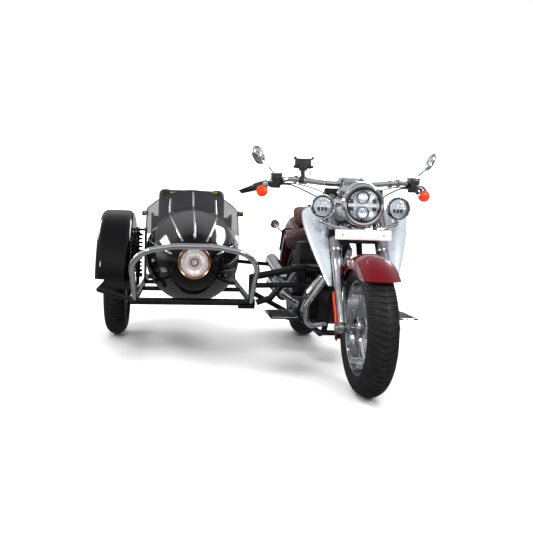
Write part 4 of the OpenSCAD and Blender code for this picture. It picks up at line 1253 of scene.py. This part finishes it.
def makeControls():
    black, bright, grips, amber = Shape(), Shape(), Shape(), Shape()
    (sx, sy, sz), (ex, ey, ez) = controls["housing"]
    run = Vector((ex - sx, ey - sy, ez - sz))
    body = [(15, 0), (22, 0), (25.5, 4), (26, 10), (26, 30), (24.5, 32), (24.5, 36), (26, 38), (26, 66),
            (24, 74),
            (15, 77)]
    black.both(*lathe(body, (sx, sy, sz), run, 32))
    black.both(*slab((344, -1132, 1012), (402, -1082, 1046), 8, 4))
    black.both(*slab((350, -1104, 972), (392, -1078, 1000), 6, 3))
    bright.both(*slab((341, -1135, 1043), (405, -1080, 1050), 3, 3))
    bright.both(*tube(controls["leverPath"], lambda t: 5.0 + 2.2 * math.sin(math.pi * min(t * 1.15, 1)), 40,
                      14))
    bright.both(*ball(controls["leverPath"][-1], (8, 8, 8)))
    bright.both(*slab((384, -1104, 1000), (408, -1078, 1018), 4, 3))
    clamp = [(15, 0), (20, 0), (20, 13), (15, 13)]
    gripRun = Vector(controls["grip"][1]) - Vector(controls["grip"][0])
    gripFoot = controls["grip"][0]
    rubber = [(14.2, 0), (21, 0), (21, 5), (18, 8)]
    for i in range(9):
        start = 14 + i * 19
        rubber += [(18, start), (17, start + 1), (17, start + 4), (18, start + 5)]
    rubber += [(18, 190), (20, 193), (20, 199), (15, 203), (0, 203)]
    grips.both(*lathe(rubber, gripFoot, gripRun, 28))
    bright.both(*lathe([(0, 202), (12, 202), (15, 200.5), (16, 198)], gripFoot, gripRun, 28))
    for place in ((232, -1150, 1013), (282, -1134, 1020)):
        bright.both(*lathe(clamp, place, (-0.87, -0.43, -0.2), 24))
    lens = [(0, -5), (9, -4.6), (18, -3.2), (25, -1), (29.5, 3), (29.5, 9)]
    amber.both(*lathe(lens, (445, -1090, 955), (0, 1, 0), 40))
    for ring in (9, 17, 24):
        amber.both(*lathe([(ring - 1.6, -3.6 + ring * 0.06), (ring, -6.2 + ring * 0.12),
                           (ring + 1.6, -3.2 + ring * 0.08)],
                          (445, -1090, 955), (0, 1, 0), 40))
    shell = [(29.6, 2), (31, 3), (31, 10), (30, 20), (26, 31), (18, 38), (8, 41), (0, 41)]
    bright.both(*lathe(shell, (445, -1090, 955), (0, 1, 0), 40))
    bright.both(*tube([(440, -1056, 962), (430, -1048, 976), (418, -1046, 990)], 7, 12, 16))
    build("controlHousings", black, ["lampBlack"], "steering", ("hand_controls",), angle=35)
    build("controlLevers", bright, ["chrome"], "steering", ("front_signals",), angle=35)
    build("grips", grips, ["rubber"], "steering", ("grips",), angle=30)
    # the signal lenses' amber finish carries a painted glow, though they are not lit
    build("frontSignalLenses", amber, ["amber"], "steering", angle=35)
    screws = [((h * x, y, 1050), (0, 0, 1)) for h in (-1, 1) for x in (350, 396) for y in (-1127, -1088)]
    bolts("controlScrews", "dome", screws, "chrome", "steering", 0.45)


makeControls()
print("mirrors and hand controls finished")


# fuel tank: a drop-shaped shell with twin caps and a dash strip
tank = {
    # y, half width, bottom, top
    "stations": ((-1199, 16, 800, 846), (-1186, 74, 776, 876), (-1150, 126, 758, 900), (-1090, 162, 749, 914),
                 (-1000, 184, 745, 921), (-900, 190, 745, 920), (-800, 174, 746, 908), (-710, 136, 749, 884),
                 (-640, 88, 756, 854), (-600, 44, 768, 828), (-591, 14, 784, 812)),
    "power": 2.5,
}


def makeTank():
    rings, count = [], 48
    for y, half, low, high in tank["stations"]:
        ring = []
        belt = low + (high - low) * 0.36
        for i in range(count):
            a = 2 * math.pi * i / count
            c, s = math.cos(a), math.sin(a)
            across = math.copysign(abs(c) ** (2 / tank["power"]), c) * half
            rise = (high - belt) if s > 0 else (belt - low)
            ring.append((across, y, belt + math.copysign(abs(s) ** (2 / (2.1 if s > 0 else 3.0)), s) * rise))
        rings.append(ring)
    shape = Shape().add(*loft(rings))
    build("fuelTank", shape, ["maroon"], "chassis", ("fuel_tank",), angle=60, levels=1)
    trim = Shape()
    for hand in (-1, 1):
        cap = [(0, 12), (20, 12), (27, 10), (30, 6), (31, 0), (31, -8)]
        trim.add(*lathe(cap, (hand * 78, -985, 903), (hand * 0.22, 0, 1), 40))
    dash = [[(-34, y, z - 10), (-36, y, z), (-24, y, z + 7), (0, y, z + 9), (24, y, z + 7), (36, y, z),
             (34, y, z - 10)]
            for y, z in ((-1165, 888), (-1120, 908), (-1060, 917), (-960, 923), (-860, 917), (-760, 898),
                         (-690, 872))]
    trim.add(*loft(dash, closed=True))
    trim.add(*lathe([(0, 14), (33, 14), (38, 11), (40, 5), (40, -6)], (0, -1075, 922), (0, -0.25, 1), 48))
    build("tankTrim", trim, ["chrome"], "chassis", angle=40)
    knob = Shape()
    knob.add(*lathe([(0, 16), (7, 15), (10, 11), (10, 5), (5, 2), (4, -14)], (-120, -730, 882),
                    (-0.25, 0, 1), 20))
    knob.add(*lathe([(0, 1.5), (30, 1.5), (30.5, 0)], (0, -1075, 935), (0, -0.25, 1), 40))
    build("tankKnob", knob, ["lampBlack"], "chassis", angle=40)


makeTank()


# phone holder: cradle, four claws, ball joint and clamp, with a short lead to the bar
def makeHolder():
    shape = Shape()
    shape.add(*slab((-284, -1150, 1076), (-196, -1128, 1128), 7, 3))
    shape.add(*slab((-262, -1160, 1064), (-218, -1124, 1112), 6, 3))
    for side in (-1, 1):
        for z in (1080, 1124):
            x = -240 + side * 40
            shape.add(*tube([(x, -1140, z), (x + side * 10, -1146, z + 2), (x + side * 10, -1164, z + 4),
                             (x + side * 4, -1170, z + 6)], 4.5, 6, 10))
            shape.add(*ball((x + side * 5, -1168, z + 5), (7, 5, 7)))
    shape.add(*ball((-240, -1138, 1056), (13, 13, 13)))
    shape.add(*lathe([(9, -22), (13, -20), (12, 0), (9, 6)], (-240, -1140, 1046), (0, 0.1, 1), 20))
    shape.add(*lathe([(14.4, -13), (20, -13), (20, 13), (14.4, 13)], (-246, -1149, 1015), (-0.9, 0.3, 0.1),
                     28))
    shape.add(*slab((-250, -1158, 1026), (-230, -1134, 1046), 4, 3))
    build("phoneHolder", shape, ["lampBlack"], "steering", ("phone_holder",), angle=35)
    wires = Shape()
    wires.add(*tube([(-212, -1140, 1088), (-200, -1158, 1060), (-206, -1160, 1020), (-222, -1156, 1004),
                     (-236, -1164, 1012)], 2.4, 20, 8))
    for hand in (-1, 1):
        run = [(hand * 352, -1106, 992), (hand * 300, -1132, 992), (hand * 230, -1150, 962),
               (hand * 170, -1190, 930),
               (hand * 120, -1250, 905), (hand * 96, -1290, 880)]
        wires.add(*tube(run, 4.2, 60, 10))
        run = [(hand * 348, -1100, 1000), (hand * 260, -1130, 996), (hand * 180, -1150, 975),
               (hand * 110, -1210, 940),
               (hand * 74, -1270, 910)]
        wires.add(*tube(run, 3.2, 60, 10))
    build("controlLines", wires, ["rubber"], "steering", angle=40)


makeHolder()


# riser and dash cover above the bar
def makeRiser():
    shape = Shape()
    rings = []
    for z, hx, y0, y1 in ((906, 60, -1258, -1166), (960, 58, -1256, -1164), (1000, 62, -1262, -1160),
                          (1022, 66, -1268, -1158), (1031, 62, -1262, -1162), (1032, 40, -1240, -1180)):
        ring = []
        for i in range(40):
            a = 2 * math.pi * i / 40
            c, s = math.cos(a), math.sin(a)
            ring.append((math.copysign(abs(c) ** 0.35, c) * hx,
                         (y0 + y1) / 2 + math.copysign(abs(s) ** 0.35, s) * (y1 - y0) / 2, z))
        rings.append(ring)
    shape.add(*loft(rings))
    build("riserCover", shape, ["chrome"], "steering", ("riser_cover",), angle=35, levels=1)
    bolts("riserBolts", "cap", [((h * 46, y, 1031), (0, 0, 1)) for h in (-1, 1) for y in (-1238, -1184)],
          "chrome",
          "steering", 0.8)


makeRiser()


# padded seats: the form is remeshed, blown up as cloth, and then quilted or piped
def padForm(name, shape, voxel=0.006, pressure=3.0, cap=0.012, frames=18):
    mesh = bpy.data.meshes.new(name)
    mesh.from_pydata([tuple(at(*v)) for v in shape.verts], [], shape.faces)
    grid = bmesh.new()
    grid.from_mesh(mesh)
    bmesh.ops.remove_doubles(grid, verts=grid.verts, dist=0.00002)
    bmesh.ops.recalc_face_normals(grid, faces=grid.faces)
    grid.to_mesh(mesh)
    grid.free()
    piece = bpy.data.objects.new(name, mesh)
    bpy.context.scene.collection.objects.link(piece)
    remesh = piece.modifiers.new("remesh", "REMESH")
    remesh.mode, remesh.voxel_size = "VOXEL", voxel
    applied(piece)
    inflate(piece, pressure, cap, frames)
    easeVerts(piece, 6)
    return piece


def applied(piece):
    bpy.context.view_layer.update()
    result = bpy.data.meshes.new_from_object(piece.evaluated_get(bpy.context.evaluated_depsgraph_get()))
    piece.modifiers.clear()
    piece.data = result


def inflate(piece, pressure, cap, frames):
    before = np.array([v.co for v in piece.data.vertices], float)
    cloth = piece.modifiers.new("cloth", "CLOTH")
    held = cloth.settings
    held.quality, held.mass = 4, 0.25
    held.tension_stiffness = held.compression_stiffness = 12
    held.shear_stiffness, held.bending_stiffness = 6, 0.8
    held.use_pressure, held.uniform_pressure_force = True, pressure
    held.effector_weights.gravity = 0
    cloth.collision_settings.use_collision = False
    cloth.point_cache.frame_start, cloth.point_cache.frame_end = 1, frames
    for moment in range(1, frames + 1):
        bpy.context.scene.frame_set(moment)
    applied(piece)
    bpy.context.scene.frame_set(1)
    after = np.array([v.co for v in piece.data.vertices], float)
    step = after - before
    length = np.linalg.norm(step, axis=1, keepdims=True)
    after = before + step * np.minimum(1, cap / np.maximum(length, 1e-9))
    piece.data.vertices.foreach_set("co", after.ravel())


def easeVerts(piece, rounds):
    grid = bmesh.new()
    grid.from_mesh(piece.data)
    for _ in range(rounds):
        bmesh.ops.smooth_vert(grid, verts=grid.verts, factor=0.5, use_axis_x=True, use_axis_y=True,
                              use_axis_z=True)
    grid.to_mesh(piece.data)
    grid.free()


def movedVerts(piece, mover):
    # mover(place in mm, normal) gives how far a point goes along its normal, in mm
    piece.data.update()
    spots = [v.co + v.normal * mover((v.co - origin) / millimetre, v.normal) * millimetre
             for v in piece.data.vertices]
    for v, spot in zip(piece.data.vertices, spots):
        v.co = spot
    piece.data.update()


def finishPad(piece, material, replaced, levels=1):
    piece.data.materials.clear()
    piece.data.materials.append(finish[material])
    if levels:
        soft = piece.modifiers.new("smooth", "SUBSURF")
        soft.levels = soft.render_levels = levels
    settle(piece, "chassis", replaced, 0)


quilt = {"pitch": 46.0, "depth": 4.2, "width": 5.5}


def quiltDip(along, across):
    # how deep a diamond channel is at a point of the cover
    dip = 0.0
    for s in (1, -1):
        off = (along + s * across) / quilt["pitch"]
        near = abs(off - round(off)) * quilt["pitch"] * 0.7071
        dip = max(dip, math.exp(-(near / quilt["width"]) ** 2))
    return dip


def makeBikeSeat():
    shape = Shape()
    # y, half width at the top, half width low, bottom, top
    rows = ((-580, 84, 96, 690, 758), (-545, 128, 138, 650, 762), (-480, 165, 176, 622, 756),
            (-400, 186, 194, 608, 742),
            (-330, 190, 196, 606, 736), (-262, 186, 190, 622, 744))
    rings = []
    for y, top, lowHalf, low, high in rows:
        ring = []
        for i in range(36):
            a = 2 * math.pi * i / 36
            c, s = math.cos(a), math.sin(a)
            half = top if s > 0 else lowHalf
            ring.append((math.copysign(abs(c) ** 0.55, c) * half, y,
                         (low + high) / 2 + math.copysign(abs(s) ** 0.5, s) * (high - low) / 2))
        rings.append(ring)
    shape.add(*loft(rings))
    back = []
    for i in range(9):  # the pillion pad curves over the fender
        y = -262 + 212 * i / 8
        arch = 360 + math.sqrt(max(474.0 ** 2 - y * y, 0))
        half = 132 - 30 * (i / 8) ** 2
        ring = [(math.copysign(abs(math.cos(a)) ** 0.6, math.cos(a)) * half, y,
                 arch + 33 + math.copysign(abs(math.sin(a)) ** 0.6, math.sin(a)) * 31)
                for a in (2 * math.pi * k / 28 for k in range(28))]
        back.append([(x, along, min(z, 900)) for x, along, z in ring])
    piece = padForm("bikeSeat", shape, 0.006, 2.2, 0.008)
    movedVerts(piece, lambda p, n: -quilt["depth"] * quiltDip(p.y + 580,
               p.x if n.z > 0.45 else math.copysign(150 + (750 - p.z), p.x)) if p.z < 752 or n.z > 0.2 else 0)
    finishPad(piece, "brownLeather", ("bike_seat",))
    pad = padForm("pillionPad", Shape().add(*loft(back)), 0.006, 2.2, 0.006)
    movedVerts(pad, lambda p, n: -quilt["depth"] * quiltDip(p.y + 580, p.x) if n.z > 0.3 else 0)
    finishPad(pad, "brownLeather", ())
    piping = Shape()
    for hand in (-1, 1):
        run = [(hand * 60, -592, 722), (hand * 118, -566, 712), (hand * 168, -500, 694),
               (hand * 196, -410, 682),
               (hand * 200, -330, 680), (hand * 190, -262, 690)]
        piping.add(*tube(run, 3.2, 40, 8))
    build("seatPiping", piping, ["brownLeather"], "chassis", angle=60)


makeBikeSeat()


sideSeat = {"foot": (tubMiddle, 267, 592), "lean": -12.0, "half": 250, "tall": 438, "deep": 104}


def makeSidecarSeat():
    s = sideSeat
    lean = math.radians(s["lean"])

    def leaned(x, y, z):
        # a point of the upright backrest, leaned rearwards
        return (s["foot"][0] + x, s["foot"][1] + y * math.cos(lean) - z * math.sin(lean),
                s["foot"][2] + y * math.sin(lean) + z * math.cos(lean))

    rest = Shape()
    verts, faces = slab((-190, 16, 20), (190, 84, 400), 26, 5)
    rest.add([leaned(*v) for v in verts], faces)
    for hand in (-1, 1):
        verts, faces = slab((hand * 246 if hand < 0 else 132, 6, 10), (-132 if hand < 0 else 246, 98, 428),
                            40, 6)
        rest.add([leaned(*v) for v in verts], faces)
    verts, faces = slab((-170, 2, 350), (170, 96, 424), 34, 6)
    rest.add([leaned(*v) for v in verts], faces)
    for z0 in (40, 118, 196, 274):
        verts, faces = slab((-138, 2, z0), (138, 40, z0 + 72), 17, 4)
        rest.add([leaned(*v) for v in verts], faces)
    piece = padForm("sidecarBackrest", rest, 0.007, 3.0, 0.006)
    finishPad(piece, "blackVinyl", ("sidecar_seat",))
    cushion = Shape()
    for i in range(4):
        x0 = -236 + i * 119
        cushion.add(*slab((tubMiddle + x0, -108, 452), (tubMiddle + x0 + 116, 250, 548), 24, 5))
    cushion.add(*slab((tubMiddle - 200, -100, 446), (tubMiddle + 200, 244, 520), 16, 4))
    pad = padForm("sidecarCushion", cushion, 0.008, 3.0, 0.006)
    finishPad(pad, "blackVinyl", ())


makeSidecarSeat()
print("seats finished")


# sidecar damper: spring, body, shaft and chrome top bolt
damper = {"x": -1150, "y": -30, "low": 414, "high": 690}


def makeDamper():
    d = damper
    shape = Shape()
    foot = (d["x"], d["y"], d["low"])
    tall = d["high"] - d["low"]
    body = [(0, 0), (14, 0), (16, 6), (30, 10), (31, 16), (16, 20), (15, tall * 0.45), (8, tall * 0.46),
            (8, tall - 30), (18, tall - 28), (31, tall - 18), (31, tall - 12), (16, tall - 8), (14, tall),
            (0, tall)]
    shape.add(*lathe(body, foot, (0, 0, 1), 32))
    build("damperBody", shape, ["frameBlack"], "chassis", ("side_shock",), angle=35)
    start = looseObject("damperSpring", [(0, 0, 0)])
    values = {"Turns": 9.0, "Coil": 27 * millimetre, "Height": (tall - 38) * millimetre,
              "Wire": 4.6 * millimetre,
              "Foot": tuple(at(d["x"], d["y"], d["low"] + 19)), "Main": "frameBlack"}
    grow(start, "spring", "damperSpring", values, "chassis")
    bolt = Shape()
    bolt.add(*lathe([(0, -20), (7, -20), (7, 14), (13, 15), (13, 24), (10, 28), (0, 30)],
                    (d["x"], d["y"] - 2, 700),
                    (0, -1, 0), 24))
    bolt.add(*ball((d["x"], d["y"], 712), (15, 15, 15)))
    build("damperBolt", bolt, ["chrome"], "chassis", angle=40)


makeDamper()


# wheel fenders: a round-shouldered sheet round the wheel's axle, cut flat at the foot
sideSheet = {"centre": (-1280, -10, 360), "radius": 474, "half": 104.5, "shoulder": 42, "inner": 340,
             "wall": 2.5,
             "foot": 408.5, "start": 5.9, "end": 174.1, "around": 10, "along": 96}
rearSheet = {"centre": (0, 0, 360), "radius": 469.5, "half": 124.5, "shoulder": 58, "inner": 341, "wall": 2.5,
             "foot": 250.5, "start": 23.0, "end": 193.0, "around": 12, "along": 100}


def fenderShape(f):
    outer = [(-f["half"], f["inner"])]
    inner = [(-f["half"] + f["wall"], f["inner"])]
    for side in (-1, 1):
        for i in range(f["around"] + 1):
            turn = math.pi / 2 * i / f["around"]
            turn = turn if side < 0 else math.pi / 2 - turn
            for path, k in ((outer, f["shoulder"]), (inner, f["shoulder"] - f["wall"])):
                path.append((side * (f["half"] - f["shoulder"] + k * math.cos(turn)),
                             f["radius"] - f["shoulder"] + k * math.sin(turn)))
    outer.append((f["half"], f["inner"]))
    inner.append((f["half"] - f["wall"], f["inner"]))
    section = outer + inner[::-1]
    cx, cy, cz = f["centre"]
    rings = []
    for i in range(f["along"] + 1):
        turn = math.radians(f["start"] + (f["end"] - f["start"]) * i / f["along"])
        rings.append([(cx + x, cy - r * math.cos(turn), max(cz + r * math.sin(turn), f["foot"])) for x,
                      r in section])
    return Shape().add(*loft(rings))


build("sideFender", fenderShape(sideSheet), ["glossBlack"], "chassis", ("side_fender",),
      angle=40)


def makeFenderBolts():
    trim = Shape()
    outside = sideSheet["centre"][0] - sideSheet["half"] + 2.6
    for y in (36, -60):
        trim.add(*lathe([(0, 3), (7, 3), (8, 0), (8, -2), (0, -2)], (outside, y, 455), (-1, 0, 0), 20))
    build("fenderBolts", trim, ["chrome"], "chassis", angle=40)


makeFenderBolts()
build("rearFender", fenderShape(rearSheet), ["maroon"], "chassis", ("rear_fender",), angle=40)


# rider boards: ribbed rubber on a rounded plate with a bright rim, brackets and pedals
def makeBoards():
    plates, brackets, ribs, rim, pads = Shape(), Shape(), Shape(), Shape(), Shape()
    plates.both(*slab((245, -1224, 293), (397, -936, 301), 3.8, 3))
    loop = [(252, -1080, 299), (252, -1217, 299), (390, -1217, 299), (390, -943, 299), (252, -943, 299),
            (252, -1080, 299)]
    rim.both(*tube(loop, 5, 24, 10))
    for i in range(9):
        x = 266 + i * 13.4
        ribs.both(*slab((x, -1206, 300), (x + 7, -954, 305.5), 2, 2))
    for start, end, wide in (((105, -1080, 240), (250, -1120, 284), 22),
                             ((105, -960, 200), (250, -990, 284), 22),
                             ((246, -1120, 285), (300, -1120, 285), 24),
                             ((246, -990, 285), (300, -990, 285), 24),
                             ((250, -1130, 300), (225, -1150, 392), 14)):
        brackets.both(*tube([start, end], wide / 2, 1, 16))
    pads.both(*slab((171, -1164, 391), (279, -1121, 401), 4, 3))
    for i in range(6):
        pads.both(*slab((182 + i * 15, -1160, 400), (189 + i * 15, -1125, 402), 0.8, 2))
    build("boardPlates", plates, ["frameBlack"], "chassis", ("floorboards",), angle=35)
    build("boardRims", rim, ["chrome"], "chassis", angle=40)
    build("boardRibs", ribs, ["rubber"], "chassis", angle=35)
    build("boardBrackets", brackets, ["frameBlack"], "chassis", angle=40)
    build("boardPads", pads, ["rubber"], "chassis", angle=35)


makeBoards()


# parts whose own shape is right: welded, edges softened, and finished
keptShapes = {
    "bike_frame": ("bikeFrame", "frameBlack", 0), "engine_case": ("engineCase", "castBlack", 2.0),
    "engine_cylinders": ("engineCylinders", "castBlack", 0), "rocker_covers": ("rockerCovers", "chrome", 2.5),
    "air_cleaner": ("airCleaner", "castBlack", 0), "primary_cover": ("primaryCover", "castBlack", 6.0),
    "exhaust": ("exhaustPipes", "chrome", 0), "oil_tank": ("oilTank", "frameBlack", 2.0),
    "fuel_tank": ("fuelTank", "maroon", 0), "bike_seat": ("bikeSeat", "brownLeather", 0),
    "rear_fender": ("rearFender", "maroon", 0), "fender_struts": ("fenderStruts", "chrome", 2.0),
    "rear_signals": ("rearSignals", "chrome", 0), "tail_lamp": ("tailLamp", "redLens", 4.0),
    "swingarm": ("swingArm", "frameBlack", 0), "rear_axle": ("rearAxle", "chrome", 0),
    "drive_belt": ("driveBelt", "rubber", 0), "floorboards": ("floorBoards", "castBlack", 0),
    "engine_guard": ("engineGuard", "chrome", 0), "saddlebag_stays": ("bagStays", "frameBlack", 0),
    "rear_rim": ("rearRim", "chrome", 0), "rear_tire": ("rearTire", "tyre", 0),
    "side_stand": ("sideStand", "frameBlack", 0), "steering_clamps": ("steeringClamps", "frameBlack", 2.0),
    "fork_covers": ("forkCovers", "satinAlloy", 0), "fork_legs": ("forkLegs", "alloy", 0),
    "front_axle": ("frontAxle", "chrome", 0), "front_caliper": ("frontCaliper", "satinAlloy", 3.0),
    "front_fender": ("frontFender", "candyRed", 0), "nacelle": ("nacelle", "chrome", 0),
    "lamp_glass": ("lampGlass", "lens", 0), "fog_lamps": ("fogLamps", "chrome", 0),
    "lamp_bar": ("lampBar", "chrome", 0), "front_plate": ("frontPlate", "plateWhite", 0),
    "leg_shields": ("legShields", "shieldSilver", 0), "handlebar": ("handleBar", "chrome", 0),
    "riser_cover": ("riserCover", "chrome", 4.0), "grips": ("grips", "rubber", 0),
    "hand_controls": ("handControls", "lampBlack", 0), "mirrors": ("mirrors", "chrome", 0),
    "front_signals": ("frontSignals", "amber", 0), "phone_holder": ("phoneHolder", "lampBlack", 4.0),
    "front_rim": ("frontRim", "chrome", 0), "front_tire": ("frontTire", "tyre", 0),
    "sidecar_frame": ("sidecarFrame", "frameBlack", 0),
    "mounting_struts": ("mountingStruts", "frameBlack", 0),
    "bumper": ("bumper", "chrome", 0), "tub": ("tubShell", "glossBlack", 0),
    "nose_lamp": ("noseLamp", "copper", 0), "windscreen": ("windscreen", "smokedScreen", 0),
    "sidecar_seat": ("sidecarSeat", "blackVinyl", 10.0), "running_board": ("runningBoard", "frameBlack", 0),
    "side_fender": ("sideFender", "glossBlack", 8.0), "side_swingarm": ("sideSwingArm", "frameBlack", 0),
    "side_shock": ("sideShock", "frameBlack", 0), "side_rim": ("sideRim", "chrome", 0),
    "side_tire": ("sideTire", "tyre", 0),
}
stoodFor = {n for o in bpy.data.objects for n in o.get("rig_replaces", [])}
for node, (name, material, edge) in keptShapes.items():
    if node not in stoodFor:
        mergedCopy(node, name, material, edge=edge)
print("kept shapes finished")

for head in heads.values():
    bpy.data.objects.remove(head)
bpy.context.view_layer.update()
